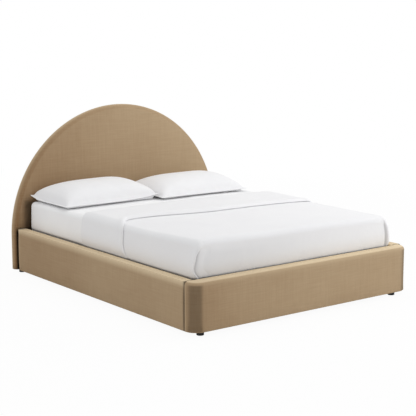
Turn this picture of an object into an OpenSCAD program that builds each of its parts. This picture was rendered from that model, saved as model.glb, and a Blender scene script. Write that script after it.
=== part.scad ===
// Upholstered platform bed with a half-round headboard, slatted base, mattress and bedding.
// Millimetres. The floor is z = 0, the foot end faces -Y, the headboard stands at +Y and
// the origin is the middle of the floor area that the bed covers.

/* [Mattress] */
// Width of the mattress
mattress_w = 1600; // [1200:10:1900]
// Length of the mattress
mattress_l = 2000; // [1900:10:2150]
// Height of the mattress at its middle
mattress_h = 255; // [180:5:300]
// Drop of the mattress top from its middle to its long sides
mattress_crown = 15; // [5:1:35]
// Radius of the mattress's top edge
mattress_edge_r = 70; // [40:1:80]
// Radius of the mattress's upright corners
mattress_corner_r = 100; // [85:1:150]
// Radius of the mattress's bottom edge
mattress_low_r = 14; // [6:1:20]

/* [Footprint] */
// Gap between the mattress and each side rail
side_gap = 14; // [13:1:40]
// Gap between the mattress and the footboard
foot_gap = 12; // [11:1:40]
// Gap between the mattress and the headboard
head_gap = 4; // [3:1:40]
// Height of the rails' underside over the floor
floor_gap = 30; // [25:1:60]

/* [Side rails] */
// Height of the side rails and the footboard
rail_h = 297; // [260:1:320]
// Thickness of a side rail, over its fabric
rail_t = 72; // [60:1:100]
// Radius of a side rail's outer top edge
rail_outer_r = 28; // [12:1:32]
// Radius of a side rail's inner top edge
rail_inner_r = 14; // [6:1:20]
// Radius of a side rail's bottom edges
rail_bottom_r = 6; // [4:1:10]
// Radius of a side rail's upright outer edge at the headboard
rail_end_r = 20; // [8:1:30]
// Thickness of the timber board in a side rail
rail_board_t = 36; // [24:1:40]
// Thickness of the foam on a side rail's inner face
rail_foam_in = 8; // [4:1:10]
// Thickness of the foam over the boards' top edges
top_foam = 14; // [6:1:24]
// Gap between a side rail's head end and the headboard
rail_joint_gap = 14; // [12:1:20]

/* [Footboard] */
// Thickness of the footboard, over its fabric
foot_t = 86; // [84:1:110]
// Radius of the footboard's upright front corners
foot_corner_r = 80; // [50:1:84]
// Radius of the footboard's front top edge
foot_top_r = 24; // [10:1:30]
// Radius of the footboard's back top edge
foot_back_r = 10; // [5:1:14]
// Thickness of the timber board in the footboard
foot_board_t = 44; // [30:1:50]
// Thickness of the foam on the footboard's front
foot_foam = 26; // [15:1:30]

/* [Headboard] */
// Height of the arch's centre over the floor
arch_centre_z = 264; // [200:1:400]
// How far the headboard stands out past each side rail
head_overhang = 14; // [2:1:40]
// Thickness of the headboard, over its fabric
head_t = 78; // [76:1:110]
// Radius of the headboard's round edge
head_edge_r = 37; // [20:1:37]
// Thickness of the foam on the headboard's rim
head_rim_foam = 28; // [15:1:40]
// Thickness of the headboard's plywood panel
head_panel_t = 12; // [9:1:18]
// Thickness of the timber behind the panel
head_frame_t = 22; // [18:1:26]
// Width of a headboard post
post_w = 70; // [50:1:90]
// Height of the headboard posts' tops over the floor
post_top_z = 560; // [420:5:620]
// Width of the headboard's cross rails
cross_rail_w = 80; // [50:1:100]
// Height of the middle cross rail's underside over the floor
middle_rail_z = 300; // [220:5:330]
// Height of the top cross rail's underside over the floor
top_rail_z = 640; // [560:5:760]
// Width of the headboard's centre stile
stile_w = 70; // [50:1:90]
// Distance of the headboard's timbers in from its panel's edge and its round edge
timber_inset = 2; // [0.5:0.5:6]
// Width of the rim of fabric on the headboard's back
back_rim_w = 55; // [45:1:90]

/* [Fabric and foam] */
// Thickness of the upholstery fabric with its lining
fabric_t = 2; // [1.5:0.1:3]
// Clearance between a cover, its foam and its board
skin_gap = 0.2; // [0.1:0.05:0.4]

/* [Slatted base] */
// Number of slats
slat_count = 14; // [10:1:16]
// Width of a slat
slat_w = 70; // [50:1:90]
// Thickness of a slat
slat_t = 15; // [12:1:22]
// Length of a slat's bearing on each cleat
slat_bearing = 26; // [15:1:32]
// Distance of the outer slats' middles from the mattress's ends
slat_end_inset = 50; // [45:1:90]
// Width of a slat cleat
cleat_w = 40; // [34:1:60]
// Height of a slat cleat and of the centre beam
cleat_h = 40; // [30:1:60]
// Height of the cleats' underside over the floor
cleat_z = 207; // [195:1:215]
// Gap at each end of a slat cleat
cleat_end_gap = 4; // [2:0.5:10]
// Width of the centre beam
beam_w = 60; // [44:1:90]
// Width of the webbing straps on the slats
strap_w = 25; // [15:1:50]
// Thickness of the webbing straps
strap_t = 1; // [0.8:0.1:2]
// Distance of each strap from the bed's centre line
strap_x = 480; // [200:10:540]

/* [Centre legs] */
// Number of centre legs
leg_count = 3; // [2:1:4]
// Diameter of a centre leg
leg_d = 46; // [36:1:60]
// Diameter of a centre leg's top plate
leg_plate_d = 84; // [70:1:90]
// Thickness of a centre leg's top plate
leg_plate_t = 4; // [3:0.5:6]
// Height of a levelling foot's disc
level_disc_h = 12; // [8:1:20]
// Diameter of a levelling foot's disc
level_disc_d = 44; // [30:1:60]
// Diameter of a levelling foot's stem
level_stem_d = 10; // [8:1:14]
// Length of a levelling foot's stem
level_stem_l = 50; // [40:1:80]
// Depth of a leg's bore past the stem's end
level_bore_end = 6; // [2:1:15]
// Clearance round a levelling foot's stem
level_fit = 0.05; // [0.02:0.01:0.1]

/* [Steel fittings] */
// Thickness of the sheet steel
steel_t = 3; // [2:0.5:4]
// Height of the rail hook plates
hook_plate_h = 130; // [110:1:160]
// Height of the hook plates' lower end over the floor
hook_plate_z = 90; // [60:1:120]
// Width of the rail hook plates
hook_plate_w = 36; // [26:1:44]
// Distance of the hooks in from a rail's middle
hook_offset = 10; // [0:1:14]
// Thickness of a rail hook
hook_t = 4; // [3:0.5:5]
// Height of a rail hook's neck
hook_neck_h = 18; // [12:1:22]
// Drop of a rail hook's nib
hook_nib_h = 12; // [8:1:14]
// Gap between the hook plates and the slotted channels
plate_gap = 4; // [3:0.5:5]
// Length of the footboard corner brackets' arms
bracket_arm = 46; // [40:1:60]
// Height of the footboard corner brackets
bracket_h = 130; // [80:1:140]
// Height of the footboard corner brackets' underside over the floor
bracket_z = 60; // [50:1:70]
// Distance of the bracket screws from the brackets' upper and lower ends
bracket_screw_inset = 25; // [12:1:35]
// Distance of the bracket screws from the ends of the brackets' arms
bracket_screw_edge = 16; // [10:1:18]
// Diameter of the screws' shanks
screw_d = 6; // [4:0.5:8]
// Diameter of the screws' heads
screw_head_d = 12; // [10:0.5:16]
// Height of the screws' heads
screw_head_h = 3; // [2:0.5:4]
// Depth that the screws reach behind the face they clamp
screw_bite = 34; // [26:1:38]
// Number of screws in each cleat
cleat_screws_n = 7; // [4:1:12]
// Distance of the outer cleat screws from the cleats' ends
cleat_screw_inset = 60; // [30:5:120]
// Length of the beam's steel shoes
beam_shoe_l = 60; // [30:1:90]
// Distance of the shoes' upper edges under the beam's top
beam_shoe_drop = 4; // [1:0.5:10]

/* [Glides] */
// Diameter of the plastic glides
glide_d = 45; // [30:1:60]
// Radius of a glide's lower edge
glide_edge_r = 3; // [1:0.5:5]
// Distance of the front glides' middles from the footboard's sides
front_glide_side = 96; // [80:1:200]
// Distance of the front glides' middles from the footboard's front
front_glide_front = 62; // [50:1:62]
// Distance of the head glides' middles from the headboard's back
head_glide_back = 36; // [32:1:45]

/* [Bedding] */
// Thickness of the fitted sheet
sheet_t = 1.2; // [0.8:0.1:2]
// Height of the fitted sheet's hem over the mattress's underside
sheet_hem = 20; // [16:1:60]
// Thickness of the top sheet under the quilt
top_sheet_t = 1; // [0.8:0.1:2]
// Distance of the top sheet's foot end from the mattress's round foot edge
top_sheet_short = 30; // [10:5:200]
// Thickness of the quilt on top
quilt_top_t = 14; // [6:0.5:30]
// Thickness of the quilt at the sides
quilt_side_t = 3.8; // [3:0.1:5]
// Distance of the quilt's head edge from the mattress's head end
quilt_head_inset = 767; // [640:5:860]
// Radius of the quilt's tucked foot corners
quilt_corner_r = 70; // [50:1:75]
// Depth of the pleats in the quilt's foot corners
pleat_depth = 11; // [4:0.5:12]
// Depth of the quilt's tuck behind the rails
tuck_depth = 28; // [10:1:40]
// Depth from the turned-down cuff's head fold to its free edge
cuff_l = 510; // [200:10:700]
// Thickness of the cuff on top
cuff_top_t = 18; // [6:0.5:30]
// Thickness of the cuff at the sides
cuff_side_t = 3.2; // [2:0.1:4]
// Distance of the cuff's head fold past the quilt's head edge
cuff_roll = 22; // [20:1:40]
// Depth of the cuff's tuck behind the rails
cuff_tuck = 14; // [5:1:30]
// Clearance between layers of bedding
layer_gap = 0.6; // [0.55:0.05:0.8]
// Clearance under the mattress and under the pillows
rest_gap = 0.3; // [0.2:0.05:0.5]

/* [Pillows] */
// Width of a pillow over its flat border
pillow_w = 750; // [500:10:760]
// Depth of a pillow over its flat border
pillow_d = 515; // [400:5:520]
// Height of a pillow's crest over the sheet
pillow_h = 155; // [90:5:200]
// Width of the flat border
pillow_border = 42; // [20:1:60]
// Height of the flat border over the sheet
pillow_seam_h = 48; // [25:1:60]
// How far the middle of each side is drawn in
pillow_draw = 16; // [5:1:25]
// Distance of the left pillow's middle from the centre line
pillow_left_x = 415; // [400:1:420]
// Distance of the right pillow's middle from the centre line
pillow_right_x = 345; // [340:1:400]
// Distance of the left pillow's middle from the mattress's head end
pillow_left_inset = 263; // [262:1:400]
// Distance of the right pillow's middle from the mattress's head end
pillow_right_inset = 336; // [262:1:400]

/* [Hidden] */
$fn = 96;
overlap = 1;
bench_l = foot_t + foot_gap + mattress_l + head_gap + head_t;
foot_face_y = -bench_l / 2;
foot_back_y = foot_face_y + foot_t;
mattress_y0 = foot_back_y + foot_gap;
mattress_y1 = mattress_y0 + mattress_l;
head_front_y = mattress_y1 + head_gap;
head_back_y = head_front_y + head_t;
rail_in_x = mattress_w / 2 + side_gap;
rail_out_x = rail_in_x + rail_t;
rail_top_z = floor_gap + rail_h;
rail_y0 = foot_back_y;
rail_y1 = head_front_y - rail_joint_gap;
arch_r = rail_out_x + head_overhang;
skin = fabric_t + skin_gap;

panel_r = arch_r - fabric_t - head_rim_foam;
frame_back_y = head_back_y - skin;
frame_front_y = frame_back_y - head_frame_t;
panel_front_y = frame_front_y - head_panel_t;
timber_r = min(panel_r, arch_r - head_edge_r) - timber_inset;
post_in_x = timber_r - post_w;
post_mid_x = post_in_x + post_w / 2;
head_base_z = floor_gap + skin;

slat_z = cleat_z + cleat_h;
slat_l = 2 * (rail_in_x - cleat_w + slat_bearing);
mattress_z = slat_z + slat_t + strap_t + rest_gap;
mattress_top_z = mattress_z + mattress_h;
slat_y0 = mattress_y0 + slat_end_inset;
slat_pitch = (mattress_l - 2 * slat_end_inset) / (slat_count - 1);
beam_end_gap = 0.6;
beam_y0 = foot_back_y + steel_t + beam_end_gap;
beam_y1 = head_front_y - steel_t - beam_end_gap;
leg_top_z = cleat_z - leg_plate_t;

board_x0 = rail_in_x + fabric_t + rail_foam_in;
board_top_z = rail_top_z - fabric_t - top_foam;
foot_board_y0 = foot_face_y + fabric_t + foot_foam;
foot_board_end_r = foot_corner_r - foot_foam - fabric_t;

slot_play = 6;
slot_side_play = 1;
slot_end_gap = 8;
hook_tip_gap = 0.5;
hook_x = rail_in_x + rail_t / 2 - hook_offset;
slot_plate_y = rail_y1 + steel_t + plate_gap;
slot_h = hook_neck_h + hook_nib_h + slot_play;
hook_zs = [hook_plate_z + hook_nib_h + slot_end_gap,
           hook_plate_z + hook_plate_h - slot_h - slot_end_gap];
hook_tip_y = head_front_y - hook_tip_gap;

cleat_y0 = foot_back_y + cleat_end_gap;
cleat_y1 = rail_y1 - cleat_end_gap;
cleat_screw_z = cleat_z + cleat_h / 2;
cleat_screw_pitch = (cleat_y1 - cleat_y0 - 2 * cleat_screw_inset) / (cleat_screws_n - 1);
cleat_screw_ys = [for (i = [0:cleat_screws_n - 1])
    cleat_y0 + cleat_screw_inset + i * cleat_screw_pitch];
bracket_zs = [bracket_z + bracket_screw_inset, bracket_z + bracket_h - bracket_screw_inset];
bracket_screw_at = bracket_arm - bracket_screw_edge;

sheet_in = layer_gap;
sheet_out = sheet_in + sheet_t;
top_sheet_in = sheet_out + layer_gap;
top_sheet_out = top_sheet_in + top_sheet_t;
quilt_in = top_sheet_out + layer_gap;
quilt_head_y = mattress_y1 - quilt_head_inset;
quilt_hem_z = rail_top_z - tuck_depth;
cuff_hem_z = rail_top_z - cuff_tuck;
cuff_head_y = quilt_head_y + cuff_roll;
cuff_foot_y = cuff_head_y - cuff_l;
top_sheet_foot_y = mattress_y0 + mattress_edge_r + top_sheet_short;
pillow_left_y = mattress_y1 - pillow_left_inset;
pillow_right_y = mattress_y1 - pillow_right_inset;

tan_fabric = [0.70, 0.60, 0.47];
foam_colour = [0.93, 0.89, 0.76];
timber = [0.79, 0.65, 0.46];
plywood = [0.82, 0.70, 0.52];
black_steel = [0.13, 0.13, 0.14];
black_plastic = [0.07, 0.07, 0.08];
black_cloth = [0.10, 0.10, 0.10];
webbing = [0.20, 0.20, 0.22];
zinc = [0.72, 0.73, 0.75];
white_cotton = [0.95, 0.95, 0.96];
white_ticking = [0.90, 0.90, 0.88];

function two_digits(i) = i < 10 ? str("0", i) : str(i);
function slat_name(i) = str("slat_", two_digits(i));
function leg_name(i) = str("centre_leg_", i);
function level_name(i) = str("levelling_foot_", i);

// Outline with its own radius at each corner: x runs outwards from 0 to w, y up from 0 to h
module edge_outline(w, h, outer_r, inner_r, bottom_r) {
    polygon([[bottom_r, 0], [w - bottom_r, 0], [w, bottom_r], [w, h - outer_r],
             [w - outer_r, h], [inner_r, h], [0, h - inner_r], [0, bottom_r]]);
    translate([w - outer_r, h - outer_r]) circle(outer_r);
    translate([inner_r, h - inner_r]) circle(inner_r);
    translate([bottom_r, bottom_r]) circle(bottom_r);
    translate([w - bottom_r, bottom_r]) circle(bottom_r);
}

// A side rail's body on the +X side, shrunk on every face by inset
module rail_body(inset) {
    intersection() {
        translate([rail_in_x + inset, rail_y1 - inset, floor_gap + inset])
            rotate([90, 0, 0])
            linear_extrude(rail_y1 - rail_y0 - 2 * inset)
            edge_outline(rail_t - 2 * inset, rail_h - 2 * inset, rail_outer_r - inset,
                         rail_inner_r - inset, rail_bottom_r - inset);
        translate([0, 0, floor_gap - overlap])
            linear_extrude(rail_h + 2 * overlap)
            rail_plan(inset);
    }
}

// A side rail's plan, with its round outer edge at the headboard
module rail_plan(inset) {
    end_r = rail_end_r - inset;
    x1 = rail_out_x - inset;
    y1 = rail_y1 - inset;
    translate([rail_in_x - overlap, rail_y0 - overlap])
        square([x1 - end_r - rail_in_x + overlap, y1 - rail_y0 + overlap]);
    translate([rail_in_x - overlap, rail_y0 - overlap])
        square([x1 - rail_in_x + overlap, y1 - end_r - rail_y0 + overlap]);
    translate([x1 - end_r, y1 - end_r]) circle(end_r);
}

// A side rail's board on the +X side, grown on every face by grow
module rail_board_body(grow) {
    y0 = rail_y0 + skin;
    y1 = rail_y1 - skin - rail_foam_in;
    translate([board_x0 - grow, y0 - grow, floor_gap + skin - grow])
        cube([rail_board_t + 2 * grow, y1 - y0 + 2 * grow,
              board_top_z - floor_gap - skin + 2 * grow]);
}

// The footboard's body, shrunk on every face by inset
module foot_body(inset) {
    straight_x = rail_out_x - foot_corner_r;
    corner_y = foot_face_y + foot_corner_r;
    back_y = foot_back_y - inset;
    intersection() {
        translate([0, 0, floor_gap + inset]) {
            translate([-straight_x, foot_face_y + inset, 0])
                rotate([90, 0, 90])
                linear_extrude(2 * straight_x)
                front_outline(inset);
            for (side = [-1, 1])
                translate([side * straight_x, corner_y, 0])
                    rotate([0, 0, side > 0 ? -90 : 180])
                    rotate_extrude(angle = 90)
                    corner_outline(inset);
            for (side = [0, 1])
                mirror([side, 0, 0])
                translate([straight_x, back_y, 0])
                rotate([90, 0, 0])
                linear_extrude(back_y - corner_y)
                corner_outline(inset);
        }
        translate([-rail_out_x - overlap, foot_face_y - overlap, floor_gap - overlap])
            rotate([90, 0, 90])
            linear_extrude(2 * rail_out_x + 2 * overlap)
            back_trim(inset);
    }
}

// Outline of the footboard across its thickness, with its round front edges
module front_outline(inset) {
    w = foot_t - 2 * inset;
    h = rail_h - 2 * inset;
    top_r = foot_top_r - inset;
    low_r = rail_bottom_r - inset;
    polygon([[low_r, 0], [w, 0], [w, h], [top_r, h], [0, h - top_r], [0, low_r]]);
    translate([top_r, h - top_r]) circle(top_r);
    translate([low_r, low_r]) circle(low_r);
}

// Outline that the footboard's corners are turned from
module corner_outline(inset) {
    w = foot_corner_r - inset;
    h = rail_h - 2 * inset;
    top_r = foot_top_r - inset;
    low_r = rail_bottom_r - inset;
    polygon([[0, 0], [w - low_r, 0], [w, low_r], [w, h - top_r], [w - top_r, h], [0, h]]);
    translate([w - top_r, h - top_r]) circle(top_r);
    translate([w - low_r, low_r]) circle(low_r);
}

// Side view that rounds the footboard's back top edge
module back_trim(inset) {
    w = foot_t - inset + overlap;
    h = rail_h - inset + overlap;
    r = foot_back_r - inset;
    polygon([[0, 0], [w, 0], [w, h - r], [w - r, h], [0, h]]);
    translate([w - r, h - r]) circle(r);
}

// The footboard's board, grown on every face by grow
module foot_board_body(grow) {
    r = foot_board_end_r;
    half = rail_out_x - foot_foam - fabric_t;
    translate([0, 0, floor_gap + skin - grow])
        linear_extrude(board_top_z - floor_gap - skin + 2 * grow)
        intersection() {
            union() {
                translate([-half - grow, foot_board_y0 + r])
                    square([2 * (half + grow), foot_t]);
                translate([-half + r, foot_board_y0 - grow]) square([2 * (half - r), foot_t]);
                for (side = [-1, 1])
                    translate([side * (half - r), foot_board_y0 + r]) circle(r + grow);
            }
            translate([-half - 2 * grow - overlap, foot_board_y0 - grow - overlap])
                square([2 * (half + 2 * grow + overlap), foot_board_t + 2 * grow + overlap]);
        }
}

// A half-round plate with straight sides below the arch, standing across the bed
module arch_plate(r, y0, y1, z0) {
    translate([0, y1, arch_centre_z])
        rotate([90, 0, 0])
        linear_extrude(y1 - y0)
        intersection() {
            circle(r, $fn = 180);
            translate([-r, 0]) square([2 * r, r]);
        }
    translate([-r, y0, z0]) cube([2 * r, y1 - y0, arch_centre_z - z0]);
}

// Outline of the headboard's thickness from its middle out to its round edge
module edge_of_arch(inset) {
    r = arch_r - inset;
    t = head_t - 2 * inset;
    edge = head_edge_r - inset;
    translate([0, edge]) square([r, t - 2 * edge]);
    square([r - edge, t]);
    translate([r - edge, edge]) circle(edge);
    translate([r - edge, t - edge]) circle(edge);
}

// The headboard's body, shrunk on every face by inset
module head_body(inset) {
    translate([0, head_back_y - inset, arch_centre_z])
        rotate([90, 0, 0])
        rotate_extrude(angle = 180, $fn = 180)
        edge_of_arch(inset);
    translate([0, head_front_y + inset, floor_gap + inset])
        linear_extrude(arch_centre_z - floor_gap - inset) {
            edge_of_arch(inset);
            mirror([1, 0]) edge_of_arch(inset);
        }
}

// Screw with its head's underside at z = 0 and its shank down -Z
module screw(shank) {
    cylinder(d = screw_head_d, h = screw_head_h);
    translate([0, 0, -shank]) cylinder(d = screw_d, h = shank);
}

// Moves what it holds to each cleat screw on the +X side, with -Z turned towards the rail
module at_cleat_screws() {
    for (y = cleat_screw_ys)
        translate([rail_in_x - cleat_w, y, cleat_screw_z]) rotate([0, -90, 0]) children();
}

// Moves what it holds to each screw of the +X footboard bracket in the side rail
module at_bracket_rail_screws() {
    for (z = bracket_zs)
        translate([rail_in_x - steel_t, foot_back_y + bracket_screw_at, z])
            rotate([0, -90, 0]) children();
}

// Moves what it holds to each screw of the +X footboard bracket in the footboard
module at_bracket_foot_screws() {
    for (z = bracket_zs)
        translate([rail_in_x - bracket_screw_at, foot_back_y + steel_t, z])
            rotate([-90, 0, 0]) children();
}

// Holes for all the screws on the +X side
module screw_holes() {
    at_cleat_screws() translate([0, 0, -cleat_w - screw_bite])
        cylinder(d = screw_d + 2 * skin_gap, h = cleat_w + screw_bite + overlap);
    at_bracket_rail_screws() translate([0, 0, -steel_t - screw_bite])
        cylinder(d = screw_d + 2 * skin_gap, h = steel_t + screw_bite + overlap);
    at_bracket_foot_screws() translate([0, 0, -steel_t - screw_bite])
        cylinder(d = screw_d + 2 * skin_gap, h = steel_t + screw_bite + overlap);
}

module both_sides() {
    children();
    mirror([1, 0, 0]) children();
}

module headboard_cover() {
    color(tan_fabric)
        difference() {
            head_body(0);
            head_body(fabric_t);
            arch_plate(arch_r - back_rim_w, head_back_y - fabric_t - overlap,
                       head_back_y + overlap, floor_gap + back_rim_w);
        }
}

module headboard_back_cloth() {
    color(black_cloth)
        arch_plate(arch_r - back_rim_w - skin_gap, head_back_y - fabric_t, head_back_y,
                   floor_gap + back_rim_w + skin_gap);
}

module headboard_foam() {
    color(foam_colour)
        difference() {
            head_body(skin);
            arch_plate(panel_r + skin_gap, panel_front_y - skin_gap, head_back_y,
                       floor_gap);
        }
}

module headboard_panel() {
    color(plywood) arch_plate(panel_r, panel_front_y, frame_front_y, head_base_z);
}

module head_post() {
    color(timber)
        intersection() {
            translate([post_in_x, frame_front_y, head_base_z])
                cube([post_w, head_frame_t, post_top_z - head_base_z]);
            arch_plate(timber_r, frame_front_y - overlap, frame_back_y + overlap, 0);
        }
}

module head_post_left() { mirror([1, 0, 0]) head_post(); }

module head_post_right() { head_post(); }

// A cross rail between the two posts
module head_cross_rail(z0) {
    color(timber)
        translate([-post_in_x, frame_front_y, z0])
        cube([2 * post_in_x, head_frame_t, cross_rail_w]);
}

module head_bottom_rail() { head_cross_rail(head_base_z); }

module head_middle_rail() { head_cross_rail(middle_rail_z); }

module head_top_rail() {
    color(timber)
        intersection() {
            translate([-arch_r, frame_front_y, top_rail_z])
                cube([2 * arch_r, head_frame_t, cross_rail_w]);
            arch_plate(timber_r, frame_front_y - overlap, frame_back_y + overlap, 0);
        }
}

module head_centre_stile() {
    z0 = middle_rail_z + cross_rail_w;
    color(timber)
        translate([-stile_w / 2, frame_front_y, z0])
        cube([stile_w, head_frame_t, top_rail_z - z0]);
}

// Stamped channel on the headboard with two slots that take a rail's hooks
module head_slot_plate() {
    slot_w = hook_t + 2 * slot_side_play;
    depth = head_front_y - slot_plate_y;
    difference() {
        translate([hook_x - hook_plate_w / 2, slot_plate_y, hook_plate_z])
            cube([hook_plate_w, depth, hook_plate_h]);
        translate([hook_x - hook_plate_w / 2 + steel_t, slot_plate_y + steel_t,
                   hook_plate_z - overlap])
            cube([hook_plate_w - 2 * steel_t, depth, hook_plate_h + 2 * overlap]);
        for (z = hook_zs)
            translate([hook_x - slot_w / 2, slot_plate_y - overlap, z - skin_gap])
                cube([slot_w, steel_t + 2 * overlap, slot_h]);
    }
}

module head_slot_plates() { color(zinc) both_sides() head_slot_plate(); }

// Plate on a rail's head end with two hooks that drop behind the slotted channel
module rail_hook_plate() {
    translate([hook_x - hook_plate_w / 2, rail_y1, hook_plate_z])
        cube([hook_plate_w, steel_t, hook_plate_h]);
    nib_y = slot_plate_y + steel_t + skin_gap;
    for (z = hook_zs) {
        translate([hook_x - hook_t / 2, rail_y1 + steel_t, z])
            cube([hook_t, hook_tip_y - rail_y1 - steel_t, hook_neck_h]);
        translate([hook_x - hook_t / 2, nib_y, z - hook_nib_h])
            cube([hook_t, hook_tip_y - nib_y, hook_nib_h]);
    }
}

module rail_hook_plates() { color(black_steel) both_sides() rail_hook_plate(); }

module side_rail_cover() {
    color(tan_fabric)
        difference() {
            rail_body(0);
            rail_body(fabric_t);
            screw_holes();
        }
}

module side_rail_foam() {
    color(foam_colour)
        difference() {
            rail_body(skin);
            rail_board_body(skin_gap);
            screw_holes();
        }
}

module side_rail_board() {
    color(timber)
        difference() {
            rail_board_body(0);
            screw_holes();
        }
}

module slat_cleat() {
    color(timber)
        difference() {
            translate([rail_in_x - cleat_w, cleat_y0, cleat_z])
                cube([cleat_w, cleat_y1 - cleat_y0, cleat_h]);
            screw_holes();
        }
}

module side_rail_cover_left() { mirror([1, 0, 0]) side_rail_cover(); }
module side_rail_cover_right() { side_rail_cover(); }
module side_rail_foam_left() { mirror([1, 0, 0]) side_rail_foam(); }
module side_rail_foam_right() { side_rail_foam(); }
module side_rail_board_left() { mirror([1, 0, 0]) side_rail_board(); }
module side_rail_board_right() { side_rail_board(); }
module slat_cleat_left() { mirror([1, 0, 0]) slat_cleat(); }
module slat_cleat_right() { slat_cleat(); }

module footboard_cover() {
    color(tan_fabric)
        difference() {
            foot_body(0);
            foot_body(fabric_t);
            both_sides() screw_holes();
        }
}

module footboard_foam() {
    color(foam_colour)
        difference() {
            foot_body(skin);
            foot_board_body(skin_gap);
            both_sides() screw_holes();
        }
}

module footboard_board() {
    color(timber)
        difference() {
            foot_board_body(0);
            both_sides() screw_holes();
        }
}

// Steel angle between a side rail and the footboard
module foot_corner_bracket() {
    difference() {
        translate([rail_in_x - bracket_arm, foot_back_y, bracket_z])
            cube([bracket_arm, bracket_arm, bracket_h]);
        translate([rail_in_x - bracket_arm - overlap, foot_back_y + steel_t, bracket_z - overlap])
            cube([bracket_arm - steel_t + overlap, bracket_arm, bracket_h + 2 * overlap]);
        screw_holes();
    }
}

module foot_corner_brackets() { color(black_steel) both_sides() foot_corner_bracket(); }

module cleat_screws() {
    color(zinc) both_sides() at_cleat_screws() screw(cleat_w + screw_bite - overlap);
}

module bracket_screws() {
    color(zinc) both_sides() {
        at_bracket_rail_screws() screw(steel_t + screw_bite - overlap);
        at_bracket_foot_screws() screw(steel_t + screw_bite - overlap);
    }
}

// Round glide that stands on the floor, with its lower edge rounded
module glide() {
    r = glide_d / 2;
    e = glide_edge_r;
    rotate_extrude() {
        translate([0, e]) square([r, floor_gap - e]);
        square([r - e, floor_gap]);
        translate([r - e, e]) circle(e);
    }
}

module front_glides() {
    color(black_plastic)
        both_sides()
        translate([rail_out_x - front_glide_side, foot_face_y + front_glide_front, 0])
        glide();
}

module head_glides() {
    color(black_plastic)
        both_sides()
        translate([post_mid_x, head_back_y - head_glide_back, 0])
        glide();
}

module centre_beam() {
    color(timber)
        translate([-beam_w / 2, beam_y0, cleat_z])
        cube([beam_w, beam_y1 - beam_y0, cleat_h]);
}

// Steel shoe that holds the beam's foot end against the footboard
module beam_shoe() {
    half = beam_w / 2 + skin_gap + steel_t;
    difference() {
        translate([-half, foot_back_y, cleat_z - steel_t])
            cube([2 * half, beam_shoe_l, cleat_h + steel_t - beam_shoe_drop]);
        translate([-half + steel_t, foot_back_y + steel_t, cleat_z])
            cube([beam_w + 2 * skin_gap, beam_shoe_l, cleat_h]);
    }
}

module beam_shoes() {
    color(black_steel) {
        beam_shoe();
        translate([0, head_front_y + foot_back_y, 0]) mirror([0, 1, 0]) beam_shoe();
    }
}

function leg_y(i) = beam_y0 + i * (beam_y1 - beam_y0) / (leg_count + 1);

module centre_leg(i) {
    bore_r = level_stem_d / 2 + level_fit;
    color(black_plastic)
        translate([0, leg_y(i), 0])
        difference() {
            union() {
                translate([0, 0, level_disc_h])
                    cylinder(d = leg_d, h = leg_top_z - level_disc_h);
                translate([0, 0, leg_top_z]) cylinder(d = leg_plate_d, h = leg_plate_t);
            }
            translate([0, 0, level_disc_h - overlap])
                cylinder(r = bore_r, h = level_stem_l + level_bore_end + overlap);
        }
}

module levelling_foot(i) {
    color(black_steel)
        translate([0, leg_y(i), 0]) {
            cylinder(d = level_disc_d, h = level_disc_h);
            cylinder(d = level_stem_d, h = level_disc_h + level_stem_l);
        }
}

module slat(i) {
    y = slat_y0 + (i - 1) * slat_pitch;
    color(timber)
        translate([-slat_l / 2, y - slat_w / 2, slat_z])
        cube([slat_l, slat_w, slat_t]);
}

module slat_strap() {
    color(webbing)
        translate([strap_x - strap_w / 2, slat_y0 - slat_w / 2, slat_z + slat_t])
        cube([strap_w, (slat_count - 1) * slat_pitch + slat_w, strap_t]);
}

module slat_strap_left() { mirror([1, 0, 0]) slat_strap(); }
module slat_strap_right() { slat_strap(); }

// Soft forms. A ring is a plan outline at one height. d is its distance in from the
// mattress's sides, and grow is how far a layer of bedding stands off the mattress.
half_w = mattress_w / 2;
side_steps = 4;
end_steps = 8;
corner_steps = 5;
least_r = 6;
edge_angles = [0, 22.5, 45, 67.5, 90];
innermost = half_w - 10;
top_depths = [for (k = [1:5]) mattress_edge_r + k * (innermost - mattress_edge_r) / 5];

function mix(a, b, k) = a + (b - a) * k;
function crown_drop(x) = mattress_crown * pow(min(abs(x), half_w) / half_w, 2);

// Points along a straight stretch without its last one
function stretch(a, b, n) = [for (k = [0:n - 1]) [mix(a[0], b[0], k / n), mix(a[1], b[1], k / n)]];

// Points round a corner without its last one, drawn in by pull at its middle
function corner(c, r, from, pull) = [for (k = [0:corner_steps - 1])
    let(a = from + 90 * k / corner_steps, q = r - pull * pow(sin(180 * k / corner_steps), 2))
    [c[0] + q * cos(a), c[1] + q * sin(a)]];

// Open outline round the foot end, from the left head end to the right one
function foot_outline(d, corner_r, head_y, pull) =
    let(r = max(corner_r - d, least_r), x = half_w - d, cx = x - r, cy = mattress_y0 + d + r)
    concat(stretch([-x, head_y], [-x, cy], side_steps),
           corner([-cx, cy], r, 180, pull),
           stretch([-cx, cy - r], [cx, cy - r], end_steps),
           corner([cx, cy], r, 270, pull),
           stretch([x, cy], [x, head_y], side_steps),
           [[x, head_y]]);

// Closed outline round the whole mattress
function full_outline(d, corner_r) =
    let(r = max(corner_r - d, least_r), x = half_w - d, cx = x - r,
        cy = mattress_y0 + d + r, hy = mattress_y1 - d - r)
    concat(stretch([-x, hy], [-x, cy], side_steps),
           corner([-cx, cy], r, 180, 0),
           stretch([-cx, cy - r], [cx, cy - r], end_steps),
           corner([cx, cy], r, 270, 0),
           stretch([x, cy], [x, hy], side_steps),
           corner([cx, hy], r, 0, 0),
           stretch([cx, hy + r], [-cx, hy + r], end_steps),
           corner([-cx, hy], r, 90, 0));

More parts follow.
